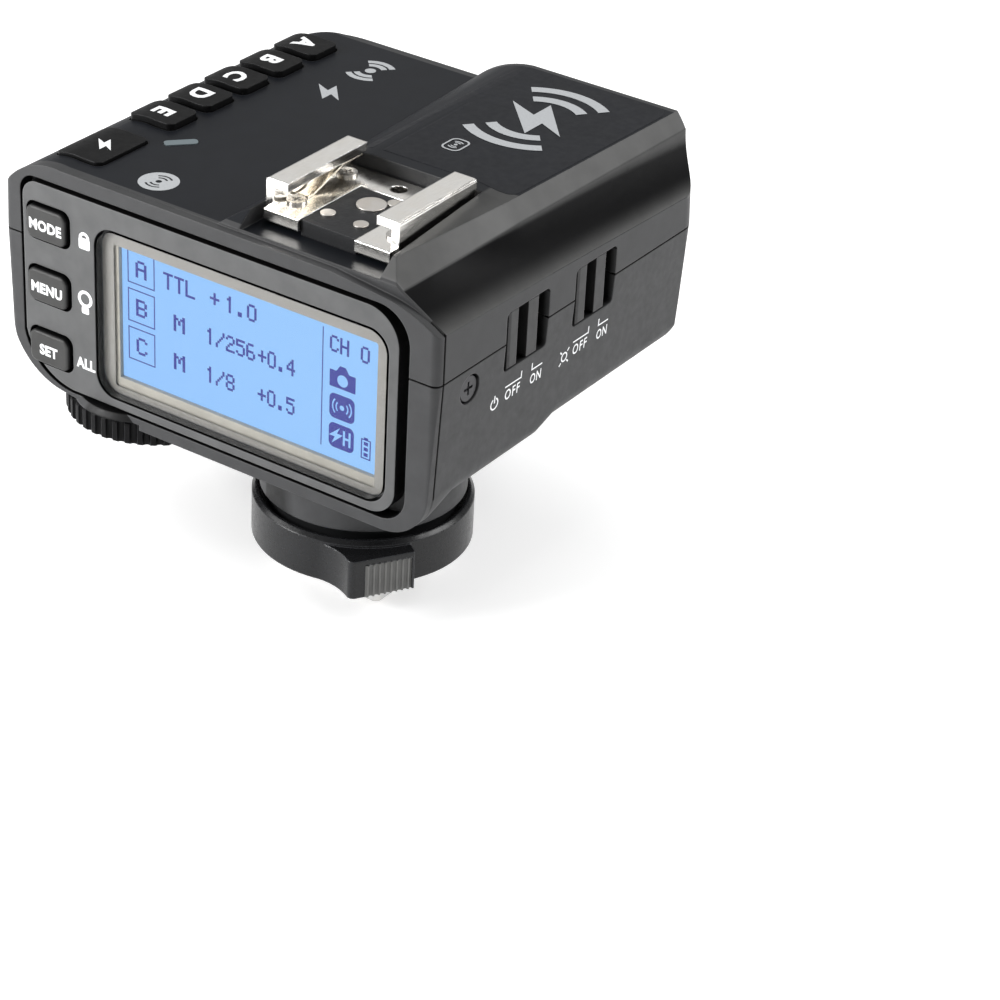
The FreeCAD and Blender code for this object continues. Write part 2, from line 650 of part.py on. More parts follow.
mould = block(("-4.3", "shoe_rear - 0.6", "top_z - 0.05"), ("4.3", "3.5", "shoe_deck - 0.1"))
under = block(("-shoe_half + 0.6", "shoe_rear + 0.4", "top_z - 0.05"),
              ("shoe_half - 0.6", "shoe_front", "shoe_floor"))
holes = [rod((f"{x}", f"{y}", "top_z - 1"), "0.85", "4") for x, y in SHOE_SCREWS]
well = rod(("0", "pin_y", "top_z - 1"), "1.1", "4")
keep(cut(joined(mould, under), well, *holes), "shoe_insert")

SMALL_CONTACTS = ((-2.8, -5.5), (2.4, -5.5), (2.1, 2.2))
contacts = [rod(("0", "0", "shoe_deck - 0.1"), "2.0", "0.2")]
contacts += [rod((f"{x}", f"{y}", "shoe_deck - 0.1"), "1.0", "0.2") for x, y in SMALL_CONTACTS]
keep(joined(*contacts), "shoe_contacts")

springs = []
for side in (-1, 1):
    strip = path((-3.8, 52.2), (-2.5, 52.2), (3.8, 54.15), (7.8, 54.15),
                 (7.8, 54.4), (3.7, 54.4), (-2.6, 52.45), (-3.8, 52.45))
    springs.append(formed(prism(strip, "x", *sorted((side * 7.3, side * 9.0)))))
keep(joined(*springs), "shoe_springs")

screws = []
for x, y in SHOE_SCREWS:
    head = rod((f"{x}", f"{y}", "shoe_deck"), "1.35", "0.35")
    shank = rod((f"{x}", f"{y}", "top_z - 3.6"), "0.75", "shoe_deck - top_z + 3.7")
    cross = [block((f"{x} - {u}", f"{y} - {v}", "shoe_deck + 0.12"),
                   (f"{x} + {u}", f"{y} + {v}", "shoe_deck + 1")) for u, v in ((0.75, 0.16), (0.16, 0.75))]
    screws.append(cut(joined(head, shank), *cross))
keep(joined(*screws), "shoe_screws")

# ---------------------------------------------------------------- foot, pins and lock ring

plate = slab(("0", "0", "0"), "plate_wide", "plate_long", "plate_thick", "z", "0.9")
window = block(("-4.6", "-6.6", "-1"), ("4.6", "7.6", "plate_thick + 1"))
FOOT_SCREWS = [(x, y) for x in (-7.0, 7.0) for y in (-6.5, 6.5)]
foot_seats = [rod((f"{x}", f"{y}", "-1"), "1.5", "2.3") for x, y in FOOT_SCREWS]
foot_holes = [rod((f"{x}", f"{y}", "-1"), "0.85", "5") for x, y in FOOT_SCREWS]
keep(cut(plate, window, *foot_seats, *foot_holes), "foot_plate")

CONTACT_PINS = ((0.0, 0.0, 1.0), (-2.8, -4.4, 0.7), (2.8, -4.4, 0.7), (2.4, 3.2, 0.7))
bores = [rod((f"{x}", f"{y}", "-1"), f"{r} + run_gap", "9") for x, y, r in CONTACT_PINS]
pin_bore = rod(("0", "pin_y", "-1"), "pin_radius + run_gap", "9")
carrier = block(("-4.5", "-6.5", "0"), ("4.5", "7.5", "plate_thick + 0.3"))
keep(cut(carrier, *bores, pin_bore), "contact_carrier")

neck = block(("-neck_wide / 2", "-8.3", "plate_thick"), ("neck_wide / 2", "8.3", "3.8"))
shelf = rod(("0", "0", "3.8"), "hub_radius + 1.3", "0.4")
hub = rod(("0", "0", "3.8"), "hub_radius", "collar_low - 3.8")
chamber = rod(("0", "0", "5.0"), "hub_radius - 1.6", "12")
pocket = block(("-4.6", "-6.6", "1"), ("4.6", "7.6", "plate_thick + 0.35"))
inner_bores = [rod((f"{x}", f"{y}", "1"), f"{r} + 0.4", "9") for x, y, r in CONTACT_PINS]
inner_pin = rod(("0", "pin_y", "1"), "pin_radius + 0.4", "9")
keep(cut(joined(neck, shelf, hub), chamber, pocket, inner_pin, *inner_bores), "foot_hub")

foot_screws = []
for x, y in FOOT_SCREWS:
    head = rod((f"{x}", f"{y}", "0.2"), "1.4", "1.1")
    shank = rod((f"{x}", f"{y}", "1.2"), "0.75", "0.8")
    cross = [block((f"{x} - {u}", f"{y} - {v}", "-1"), (f"{x} + {u}", f"{y} + {v}", "0.6"))
             for u, v in ((0.8, 0.17), (0.17, 0.8))]
    foot_screws.append(cut(joined(head, shank), *cross))
keep(joined(*foot_screws), "foot_screws")

for number, (x, y, r) in enumerate(CONTACT_PINS, start=1):
    pin = turned((f"{x}", f"{y}", "-0.9"), f"{r}", "6.2")
    flange = turned((f"{x}", f"{y}", "5.3"), f"{r} + 0.5", "0.6")
    doc.recompute()
    rounded(pin, pin.Tip, lambda e: e.BoundBox.ZMax < -0.8 + 1e-6 + 0.9, f"{r} * 0.6")
    keep(joined(pin, flange), f"contact_pin_{number}")

pin = turned(("0", "pin_y", "-1.3"), "pin_radius", "8")
keep(pin, "lock_pin")


def at_angle(radius, degrees):
    return radius * math.cos(math.radians(degrees)), radius * math.sin(math.radians(degrees))


ring_radius, lever = size("ring_radius"), size("lever_radius")
lever_outline = path(at_angle(ring_radius, -29), (at_angle(ring_radius, 120), at_angle(ring_radius, -76)),
                     (at_angle(ring_radius + 0.9, -67), at_angle(lever - 0.5, -60)),
                     (at_angle(lever, -58), at_angle(lever - 0.15, -55.5)),
                     at_angle(ring_radius + 2.0, -30))
ring = prism(lever_outline, "z", size("ring_low"), size("ring_high"))
ring = ring.cut([solid_rod(0, 0, size("ring_low") - 1, size("hub_radius") + size("run_gap"), 9, UP)])
grip_inner = ring_radius - 0.4
grip_outline = path(at_angle(grip_inner, -31), (at_angle(grip_inner, -41), at_angle(grip_inner, -51)),
                    at_angle(lever + 0.9, -53), at_angle(ring_radius + 2.9, -31))
grip_seat = prism(grip_outline, "z", size("ring_low") - 0.5, size("ring_high") - 1.6)
collar_cut = solid_rod(0, 0, size("ring_high") - 1.1, ring_radius - 0.9, 3, UP)
rim_chamfer, lever_drop = 0.5, 0.8
rim_low = size("ring_high") - rim_chamfer
rim_cut = solid_rod(0, 0, rim_low, lever + 3, 3, UP).cut(
    Part.makeCone(ring_radius, ring_radius - 3, 3, Vector(0, 0, rim_low)))
lever_cut = solid_rod(0, 0, size("ring_high") - lever_drop, lever + 3, 3, UP).cut(
    solid_rod(0, 0, size("ring_low"), ring_radius + 0.05, 12, UP))
keep(formed(ring.cut([grip_seat, collar_cut, rim_cut, lever_cut])), "lock_ring")
grip = prism(grip_outline, "z", size("ring_low"), size("ring_high") - 1.65)
flank_from = Vector(*at_angle(lever - 0.15, -53.5), 0)
flank_to = Vector(*at_angle(ring_radius + 2.0, -30), 0)
flute_count, flute_radius = 9, 0.3
flutes = []
for step in range(flute_count):
    spot = flank_from + (flank_to - flank_from) * ((step + 0.5) / flute_count)
    flutes.append(solid_rod(spot.x, spot.y, size("ring_low") - 1, flute_radius, 9, UP))
outside = prism(path((flank_from.x, flank_from.y), (flank_to.x, flank_to.y), at_angle(ring_radius + 9, -30),
                     at_angle(lever + 8, -53.5)), "z", size("ring_low") - 1, size("ring_high"))
keep(formed(grip.cut([outside] + flutes)), "ring_grip")

# ---------------------------------------------------------------- select dial

wheel = turned(("dial_x", "dial_y", "dial_low"), "dial_radius", "dial_high - dial_low")
doc.recompute()
rounded(wheel, wheel.Tip, lambda e: True, "0.35")
teeth_sketch = new_sketch(wheel)
teeth_sketch.addGeometry(Part.Circle(Vector(size("dial_radius"), 0, 0), Vector(0, 0, 1), 0.55), False)
teeth_sketch.addConstraint(Sketcher.Constraint("PointOnObject", 0, 3, -1))
bound(teeth_sketch, "Radius", 0, "0.55")
bound(teeth_sketch, "DistanceX", -1, 1, 0, 3, "dial_radius")
groove = wheel.newObject("PartDesign::Pocket", "Groove")
groove.Profile = teeth_sketch
groove.Type = 1
groove.Midplane = True
doc.recompute()
teeth = wheel.newObject("PartDesign::PolarPattern", "Teeth")
teeth.Originals = [groove]
teeth.Axis = (teeth_sketch, ["N_Axis"])
teeth.Angle = 360
teeth.setExpression("Occurrences", link("dial_teeth"))
wheel.Tip = teeth
doc.recompute()
finger_ring = cut(rod(("dial_x", "dial_y", "dial_low - 1"), "9.4", "1.4"),
                  rod(("dial_x", "dial_y", "dial_low - 2"), "3.2", "5"))
keep(cut(wheel, finger_ring), "select_dial")
shaft = turned(("dial_x", "dial_y", "dial_high"), "shaft_radius", "12")
keep(shaft, "dial_shaft")
case = block(("dial_x - 5.5", "dial_y - 5.5", "floor_rear_z + 1.9"), ("dial_x + 5.5", "dial_y + 5.5", "26.6"))
keep(cut(case, rod(("dial_x", "dial_y", "15"), "shaft_radius + run_gap", "20")), "dial_encoder")
dial_card = slab(("dial_x + 1", "dial_y + 1.6", "26.6"), "15", "13.5", "1.0", "z")
keep(cut(dial_card, rod(("dial_x", "dial_y", "15"), "shaft_radius + 0.6", "20")), "dial_board")

# ---------------------------------------------------------------- power, boards and sockets

cells, ends = [], []
for step in range(2):
    y = f"cell_y + {step} * cell_pitch"
    can = turned(("cell_x - cell_long / 2", y, "cell_z"), "cell_radius", "cell_long - 1.2", "x")
    nub = turned(("cell_x + cell_long / 2 - 1.3", y, "cell_z"), "2.6", "1.3", "x")
    cells.append(joined(can, nub))
    ends.append(rod(("cell_x - cell_long / 2 - 1", y, "cell_z"), "3.0", "1.0", "x"))
    ends.append(rod(("cell_x + cell_long / 2", y, "cell_z"), "2.0", "0.8", "x"))
keep(joined(*cells), "battery_cells")
ends.append(block(("cell_x - cell_long / 2 - 1.5", "cell_y - 5", "cell_z - 5"),
                  ("cell_x - cell_long / 2 - 1", "cell_y + cell_pitch + 5", "cell_z + 5")))
for step in range(2):
    ends.append(block(("cell_x + cell_long / 2 + 0.7", f"cell_y + {step} * cell_pitch - 5", "cell_z - 5"),
                      ("cell_x + cell_long / 2 + 1.2", f"cell_y + {step} * cell_pitch + 5", "cell_z + 5")))
keep(joined(*ends), "battery_contacts")

board_low = "seam_z - 0.8"
board_top = "seam_z + 0.2"
card = slab(("-13", "20.2", board_low), "50", "48", "1.0", "z", "1.5")
card_bores = [rod((f"{x}", f"{y}", "seam_z - 2"), "0.9", "4") for x, y in POSTS]
keep(cut(card, *card_bores), "main_board")
board_screws = []
for x, y in POSTS:
    board_screws.append(joined(rod((f"{x}", f"{y}", board_top), "1.4", "0.7"),
                               rod((f"{x}", f"{y}", "seam_z - 5"), "0.68", "5.3")))
keep(joined(*board_screws), "board_screws")

keep(block(("-30", "16", board_top), ("-14", "32", "seam_z + 2.6")), "radio_module")
keep(block(("-35.5", "18", board_top), ("-33", "40", "seam_z + 1.0")), "antenna")
keep(rod(("-3", "38", "seam_z + 5.2"), "1.5", "6.5", "y"), "assist_led")

keep(block(("-43.4", "body_rear + 5.3", "24.8"), ("12", "body_rear + 5.9", "45.6")), "rear_board")
dome_spots = [f"face_button_z + 1 - {step} * face_button_pitch" for step in range(3)]
domes = [rod(("face_button_x + 1.4", "body_rear + 4.7", z), "1.6", "0.6", "y") for z in dome_spots]
keep(joined(*domes), "rear_switches")
keep(block(("-43.4", "-8.4", "top_z - 5.8"), ("-31", "41.5", "top_z - 4.8")), "key_board")
pads = [block(("key_x - 1.8", f"{y} - 1.8", "top_z - 4.8"), ("key_x + 1.8", f"{y} + 1.8", "top_z - 4.2"))
        for y, long in key_places.values()]
keep(joined(*pads), "key_switches")
glow = block(("lamp_x - 1.5", "lamp_y - 1", "top_z - 4.8"), ("lamp_x + 1.5", "lamp_y + 1", "top_z - 3.6"))
keep(glow, "status_led")

strip = path((-8.6, 43.2), (-5.6, 43.2), (-2.4, 40.2), (-2.4, 39.2),
             (-2.1, 39.2), (-2.1, 40.35), (-5.45, 43.5), (-8.6, 43.5))
keep(formed(prism(strip, "x", -14, -3)), "flex_ribbon")

keep(block(("-46", "-3.5", "29.6"), ("-36.5", "15.8", "30.4")), "port_board")
shell = prism(rectangle(-1.4, 7.6, 30.4, 33.6, (1.5, 1.5, 1.5, 1.5)), "x", -49.2, -42.0)
mouth = prism(rectangle(-1.0, 7.2, 30.8, 33.2, (1.1, 1.1, 1.1, 1.1)), "x", -50.0, -43.2)
tongue = Part.makeBox(5.6, 5.8, 0.6, Vector(-48.6, 0.2, 31.7))
keep(formed(shell.cut(mouth).fuse(tongue)), "usb_socket")
nose = rod(("-49.3", "12.5", "33.2"), "2.5", "3", "x")
barrel = block(("-46.6", "9.6", "30.4"), ("-37.5", "15.4", "36"))
keep(cut(joined(nose, barrel), rod(("-50", "12.5", "33.2"), "1.27", "12", "x")), "sync_jack")

side_screws = []
for side, wall in ((1, "body_right"), (-1, "body_left")):
    seat = 20.1 if side > 0 else -48.8
    head = rod((f"{min(seat, seat + side * 0.7)}", str(screw_y), str(screw_z)), "1.75", "0.7", "x")
    shank = rod((f"{min(seat, seat - side * 4.5)}", str(screw_y), str(screw_z)), "0.85", "4.6", "x")
    near, far = sorted((seat + side * 0.35, seat + side * 1.35))
    tips = [block((f"{near}", f"{screw_y} - {u}", f"{screw_z} - {v}"),
                  (f"{far}", f"{screw_y} + {u}", f"{screw_z} + {v}")) for u, v in ((0.95, 0.2), (0.2, 0.95))]
    side_screws.append(cut(joined(head, shank), *tips))
keep(joined(*side_screws), "case_screws")

# ---------------------------------------------------------------- check and write

doc.recompute()
failed = [o.Name for o in doc.Objects if "Invalid" in o.State or "Error" in o.State]
if failed:
    raise SystemExit(f"these objects failed: {failed}")
os.makedirs("parts", exist_ok=True)
for piece in pieces:
    if piece.Shape.isNull() or not piece.Shape.isValid():
        raise SystemExit(f"{piece.Label} has no valid shape")
    piece.Shape.exportStep(f"parts/{piece.Label}.step")
print(len(pieces), "pieces written")
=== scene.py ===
"""Looks for the wireless flash trigger: finishes on every piece, prints, display, light and camera.

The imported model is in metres, X to the right seen from behind, Y forward, Z up, with its origin at the
centre of the foot plate's underside. Sizes below are in millimetres and go through MM.
"""

import math

import bmesh
import bpy
from mathutils import Matrix, Vector
from mathutils.bvhtree import BVHTree


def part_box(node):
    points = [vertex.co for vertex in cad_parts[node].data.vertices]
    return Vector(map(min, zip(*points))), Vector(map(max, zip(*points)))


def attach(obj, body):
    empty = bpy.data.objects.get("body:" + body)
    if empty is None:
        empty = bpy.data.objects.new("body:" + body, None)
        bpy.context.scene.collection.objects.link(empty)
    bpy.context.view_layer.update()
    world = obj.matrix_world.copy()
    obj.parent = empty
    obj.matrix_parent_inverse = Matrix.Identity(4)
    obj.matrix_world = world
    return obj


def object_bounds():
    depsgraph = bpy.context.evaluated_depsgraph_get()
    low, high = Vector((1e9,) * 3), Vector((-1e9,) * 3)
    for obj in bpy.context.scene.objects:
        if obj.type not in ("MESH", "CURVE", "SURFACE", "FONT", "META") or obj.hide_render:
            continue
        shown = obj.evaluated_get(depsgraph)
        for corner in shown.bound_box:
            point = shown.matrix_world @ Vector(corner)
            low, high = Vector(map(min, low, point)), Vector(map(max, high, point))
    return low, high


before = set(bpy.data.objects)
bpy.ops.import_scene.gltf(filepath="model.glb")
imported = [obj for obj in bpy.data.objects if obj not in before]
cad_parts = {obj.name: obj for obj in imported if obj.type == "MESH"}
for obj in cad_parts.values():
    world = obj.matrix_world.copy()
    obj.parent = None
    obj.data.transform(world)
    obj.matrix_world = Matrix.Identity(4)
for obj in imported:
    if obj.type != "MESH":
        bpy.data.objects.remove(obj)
cad_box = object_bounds()

MM = 0.001
HOME = "housing"


def place(x, y, z):
    return Vector((x, y, z)) * MM


def corners(node):
    """A node's lowest and highest corner, in millimetres."""
    return tuple(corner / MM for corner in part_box(node))


# ---------------------------------------------------------------- camera

AZIMUTH = math.radians(32.835)
ELEVATION = math.radians(30.883)
ROLL = math.radians(3.177)
EYE = place(210.52, -292.24, 224.55)
LENS_MM = 112.1


def aim_camera():
    """A long lens behind, above and to the right of the trigger."""
    back = Vector((math.sin(AZIMUTH) * math.cos(ELEVATION), -math.cos(AZIMUTH) * math.cos(ELEVATION),
                   math.sin(ELEVATION)))
    level = Vector((math.cos(AZIMUTH), math.sin(AZIMUTH), 0))
    upright = back.cross(level)
    right = level * math.cos(ROLL) + upright * math.sin(ROLL)
    up = upright * math.cos(ROLL) - level * math.sin(ROLL)
    camera = bpy.data.objects.new("camera", bpy.data.cameras.new("camera"))
    bpy.context.collection.objects.link(camera)
    camera.data.lens = LENS_MM
    camera.data.clip_start = 0.01
    camera.data.clip_end = 20
    turn = Matrix((right, up, back)).transposed().to_4x4()
    camera.matrix_world = Matrix.Translation(EYE) @ turn
    bpy.context.scene.camera = camera


aim_camera()

# ---------------------------------------------------------------- materials


def socket(value):
    """An RGB triple as a colour with alpha."""
    return (*value, 1.0) if isinstance(value, tuple) and len(value) == 3 else value


class Finish:
    """One node material, with short calls for the nodes that the finishes share."""

    def __init__(self, name, **fixed):
        self.material = bpy.data.materials.new(name)
        self.material.use_nodes = True
        self.tree = self.material.node_tree
        self.shader = self.tree.nodes["Principled BSDF"]
        self.spot = self.add("ShaderNodeTexCoord").outputs["Object"]
        for key, value in fixed.items():
            self.shader.inputs[key.replace("_", " ")].default_value = socket(value)

    def add(self, kind, inputs=(), **settings):
        node = self.tree.nodes.new(kind)
        for key, value in settings.items():
            setattr(node, key, value)
        for key, value in dict(inputs).items():
            self.feed(node.inputs[key], value)
        return node

    def feed(self, where, value):
        if isinstance(value, bpy.types.NodeSocket):
            self.tree.links.new(value, where)
        else:
            where.default_value = socket(value)

    def set(self, key, value):
        self.feed(self.shader.inputs[key], value)

    def noise(self, period_mm, detail=2.0, stretch=(1, 1, 1)):
        """Smooth noise with features about this many millimetres across."""
        spread = self.add("ShaderNodeVectorMath", {0: self.spot, 1: Vector(stretch)}, operation="MULTIPLY")
        node = self.add("ShaderNodeTexNoise", {"Vector": spread.outputs[0], "Scale": 1 / (period_mm * MM),
                                               "Detail": detail})
        return node.outputs["Fac"]

    def span(self, value, start, end, low=0.0, high=1.0):
        """Maps a value between two limits onto another range, clamped."""
        node = self.add("ShaderNodeMapRange", {"Value": value, "From Min": start, "From Max": end,
                                               "To Min": low, "To Max": high})
        return node.outputs["Result"]

    def blend(self, amount, first, second):
        """A colour between two colours."""
        node = self.add("ShaderNodeMix", data_type="RGBA")
        self.feed(node.inputs[0], amount)
        self.feed(node.inputs[6], first)
        self.feed(node.inputs[7], second)
        return node.outputs[2]

    def reckon(self, first, second, operation):
        """One step of arithmetic on two numbers or node outputs."""
        return self.add("ShaderNodeMath", {0: first, 1: second}, operation=operation).outputs[0]

    def sum(self, first, second):
        return self.reckon(first, second, "ADD")

    def less(self, first, second):
        return self.reckon(first, second, "SUBTRACT")

    def times(self, first, second):
        return self.reckon(first, second, "MULTIPLY")

    def larger(self, first, second):
        return self.reckon(first, second, "MAXIMUM")

    def between(self, value, low, high, soft):
        """One where a place in metres lies between two places in millimetres, with soft edges."""
        rise = self.span(value, (low - soft) * MM, (low + soft) * MM)
        return self.times(rise, self.span(value, (high + soft) * MM, (high - soft) * MM))

    def axes(self, vector):
        return self.add("ShaderNodeSeparateXYZ", {0: vector}).outputs

    def facing(self):
        """The surface's direction in the object's own axes."""
        return self.axes(self.add("ShaderNodeTexCoord").outputs["Normal"])

    def edge_wear_and_highlight(self, radius_mm):
        """Rounded edges: a bevelled normal, and how far it differs from the flat one; finishes lighten edges
        by it as wear and painted highlight.
        """
        bevel = self.add("ShaderNodeBevel", {"Radius": radius_mm * MM}, samples=6)
        flat = self.add("ShaderNodeNewGeometry").outputs["Normal"]
        likeness = self.add("ShaderNodeVectorMath", {0: bevel.outputs[0], 1: flat}, operation="DOT_PRODUCT")
        return bevel.outputs[0], self.span(likeness.outputs["Value"], 0.98, 0.80)

    def relief(self, height, depth_mm, over=None, strength=1.0):
        """Adds a height map to the shader's normal."""
        bump = self.add("ShaderNodeBump", {"Height": height, "Distance": depth_mm * MM, "Strength": strength})
        if over is not None:
            self.feed(bump.inputs["Normal"], over)
        self.set("Normal", bump.outputs[0])
        return bump.outputs[0]


def moulded(name, colour, rough, grain_mm=0.16, grain_depth=0.012, edge_mm=0.2, edge_highlight_gain=1.6, shine=0.3,
            dark=None):
    """Injection-moulded plastic: fine spark grain, faint mottling, softened edges lightened as wear and
    painted highlight, and painted shade where a dark mask falls.
    """
    f = Finish(name, Specular_IOR_Level=shine)
    normal, edge = f.edge_wear_and_highlight(edge_mm)
    mottle = f.span(f.noise(3.5, 3.0), 0.35, 0.65)
    shade = f.blend(mottle, tuple(c * 0.9 for c in colour), tuple(c * 1.08 for c in colour))
    # Wear and painted highlight: the edges are lighter than the plastic by the edge gain.
    shade = f.blend(edge, shade, tuple(min(1.0, c * edge_highlight_gain + 0.004) for c in colour))
    # Painted shade: where the dark mask falls the colour goes to SHADOW.
    f.set("Base Color", f.blend(dark(f), shade, SHADOW) if dark else shade)
    patch = f.span(f.noise(1.1, 2.0), 0.3, 0.7, rough - 0.04, rough + 0.05)
    f.set("Roughness", f.sum(patch, f.span(edge, 0.0, 1.0, 0.0, -0.1)))
    f.relief(f.noise(grain_mm, 1.0), grain_depth, normal)
    return f


SHADOW = (0.0015, 0.0015, 0.0016)
SLOT_START, SLOT_PITCH = 0.55, 15.9  # the first switch recess along Y, and the way to the next


def side_shade(f):
    """Painted shade where a face doesn't look to the rear: the sides of the buttons and of the face plate's
    holes.
    """
    return f.span(f.facing()[1], -0.8, -0.5)


def slot_shade(f):
    """Painted shade on the slide switches' feet, deep in their recesses, and on the rear of each first rib.
    """
    x, y, z = f.axes(f.spot)
    along = f.reckon(f.less(y, SLOT_START * MM), SLOT_PITCH * MM, "MODULO")
    rear = f.larger(f.span(along, 1.5 * MM, 1.2 * MM), f.span(f.facing()[1], -0.5, -0.8))
    return f.larger(f.span(x, 20.4 * MM, 19.3 * MM), f.times(rear, 0.85))


def gap_shade(f):
    """Painted shade in the covers' inner sides, seam, switch recesses and corner groove."""
    east, north, up = f.facing()
    x, y, z = f.axes(f.spot)
    across = f.times(f.sum(x, 14 * MM), east)
    upward = f.times(f.less(z, 30 * MM), up)
    inward = f.span(f.sum(across, upward), -1.0 * MM, -2.5 * MM)
    zone = f.larger(f.span(z, 20.2 * MM, 20.6 * MM), f.span(y, -11.9 * MM, -12.1 * MM))
    level = f.between(z, 34.5, 43.5, 0.1)
    deep = f.times(f.span(x, 20.9 * MM, 20.2 * MM), f.span(x, 15 * MM, 15.1 * MM))
    recess = f.times(f.times(level, deep), f.between(y, 0.3, 28.1, 0.1))
    groove = f.times(f.between(y, -13.39, -12.95, 0.03), f.span(x, 19.0 * MM, 19.1 * MM))
    seam = f.between(z, 38.73, 39.05, 0.02)
    gaps = f.larger(f.times(inward, zone), f.larger(recess, groove))
    return f.larger(gaps, seam)


def plated(name, colour, rough, stretch=(1, 1, 1), dirt=0.0, edge_mm=0.15):
    """Bare or plated metal with drawing marks along its length and fine pits."""
    f = Finish(name, Metallic=1.0)
    normal, edge = f.edge_wear_and_highlight(edge_mm)
    marks = f.noise(0.22, 3.0, stretch)
    stain = f.span(f.noise(2.4, 4.0), 0.42, 0.7, 0.0, dirt)
    warm = f.blend(stain, colour, (colour[0] * 0.8, colour[1] * 0.7, colour[2] * 0.55))
    # Wear and painted highlight: the edges are a little brighter than the metal.
    f.set("Base Color", f.blend(edge, warm, tuple(min(1.0, c * 1.15) for c in colour)))
    f.set("Roughness", f.span(marks, 0.3, 0.7, rough - 0.06, rough + 0.08))
    f.relief(marks, 0.004, normal)
    return f


def printed(name, colour, rough=0.5, painted_glow=0.0):
    """Pad-printed ink, a little uneven; the glow argument makes the ink glow as painted light."""
    f = Finish(name, Roughness=rough)
    speck = f.span(f.noise(0.3, 2.0), 0.3, 0.7)
    shade = f.blend(speck, tuple(c * 0.92 for c in colour), colour)
    f.set("Base Color", shade)
    # Painted light: the ink glows though it is no lamp.
    if painted_glow:
        f.set("Emission Color", shade)
        f.set("Emission Strength", painted_glow)
    f.relief(f.noise(0.12, 1.0), 0.002)
    return f


# The flank's grey is painted sheen; the hollow's black is painted shade, rising to the painted highlight
# RIM_LIGHT.
GREY_WALL, FLANK_SHEEN, LACQUER = (0.040, 0.0405, 0.042), (0.096, 0.096, 0.095), (0.0070, 0.0082, 0.0110)
HOLLOW_SHADE, RIM_LIGHT = (0.003, 0.003, 0.0034), (0.105, 0.105, 0.103)


def top_plastic():
    """The upper shell: blue-black satin above and grained grey walls, with painted sheen on the flank,
    painted shade in the hollow brightening to a painted highlight at the side's top edge, painted highlights
    on the edges and painted shade in the gaps.
    """
    f = Finish("top_plastic", Specular_IOR_Level=0.3)
    normal, edge = f.edge_wear_and_highlight(0.3)
    east, north, up = f.facing()
    x, y, z = f.axes(f.spot)
    mottle = f.span(f.noise(3.5, 3.0), 0.35, 0.65, 0.93, 1.07)
    # Beyond the shoulder line lies the hollow: painted shade darkest at the shoulder, brightening to a
    # painted highlight at the side's top edge.
    rear_run = f.span(y, -13.3 * MM, 8.5 * MM, 14.5 * MM, 17.0 * MM)
    shoulder = f.sum(rear_run, f.span(y, 8.5 * MM, 49.3 * MM, 0, 1.4 * MM))
    beyond = f.less(x, shoulder)
    share = f.reckon(beyond, f.less(21.2 * MM, shoulder), "DIVIDE")
    lit = f.span(share, 0.45, 1.05)
    lit = f.times(lit, lit)
    hollow = f.blend(lit, HOLLOW_SHADE, RIM_LIGHT)
    # Painted sheen on the flank up to the shoulder line, the hollow's painted shade and highlight beyond it.
    slope = f.blend(f.span(beyond, -0.15 * MM, 0.15 * MM), FLANK_SHEEN, hollow)
    on_top = f.span(up, 0.945, 0.965)
    side = f.times(f.span(x, 9.5 * MM, 9.6 * MM), f.span(x, 21.18 * MM, 21.14 * MM))
    side = f.times(side, f.span(z, 43.4 * MM, 43.5 * MM))
    inset = f.between(y, -12.725, 46.175, 0.025)
    crown = f.times(inset, f.span(up, 0.55, 0.75))
    bare = f.times(f.span(x, 10.9 * MM, 11.3 * MM), f.span(y, 10.9 * MM, 10.6 * MM))
    shade = f.blend(crown, GREY_WALL, f.blend(bare, LACQUER, tuple(c * 0.6 for c in FLANK_SHEEN)))
    right_slope = f.times(side, f.less(1.0, on_top))
    right_slope = f.times(right_slope, f.span(y, -13.0 * MM, -12.9 * MM))
    right_slope = f.times(right_slope, f.span(north, 0.85, 0.75))
    shade = f.blend(right_slope, shade, slope)
    # Wear and painted highlight on the edges.
    shade = f.blend(f.times(edge, 0.55), shade, (0.10, 0.10, 0.10))
    # Painted shade in the gaps.
    shade = f.blend(gap_shade(f), shade, SHADOW)
    scaled = f.add("ShaderNodeVectorMath", {0: shade}, operation="SCALE")
    f.feed(scaled.inputs["Scale"], mottle)
    f.set("Base Color", scaled.outputs[0])
    shaded = f.times(right_slope, f.span(beyond, -0.1 * MM, 0.2 * MM))
    shaded = f.times(shaded, f.less(1.0, lit))
    dull = f.larger(shaded, f.times(crown, 0.6))
    f.set("Specular IOR Level", f.span(dull, 0.0, 1.0, 0.3, 0.06))
    smooth = f.larger(f.times(on_top, inset), right_slope)
    f.set("Roughness", f.span(smooth, 0.0, 1.0, 0.50, 0.42))
    grain = f.times(f.noise(0.17, 1.0), f.span(smooth, 0.0, 1.0, 1.0, 0.5))
    f.relief(grain, 0.012, normal)
    return f


def display_glow():
    """A lit liquid crystal panel: blue light with a fine cell grid, a little stronger at the left."""
    f = Finish("display_glow", Roughness=0.5, Specular_IOR_Level=0.1)
    x, y, z = f.axes(f.spot)
    lines = [f.reckon(f.times(value, 2 * math.pi / (0.31 * MM)), 0.0, "SINE") for value in (x, z)]
    grid = f.span(f.larger(*lines), 0.86, 1.0)
    low, high = corners("lcd_panel")
    across = f.span(x, low.x * MM, high.x * MM)
    light = f.blend(across, (0.295, 0.56, 0.985), (0.315, 0.585, 0.985))
    shade = f.blend(f.times(grid, 0.08), light, (0.12, 0.30, 0.75))
    f.set("Base Color", f.blend(0.97, shade, (0.0, 0.0, 0.0)))
    f.set("Emission Color", shade)
    f.set("Emission Strength", 0.96)
    return f


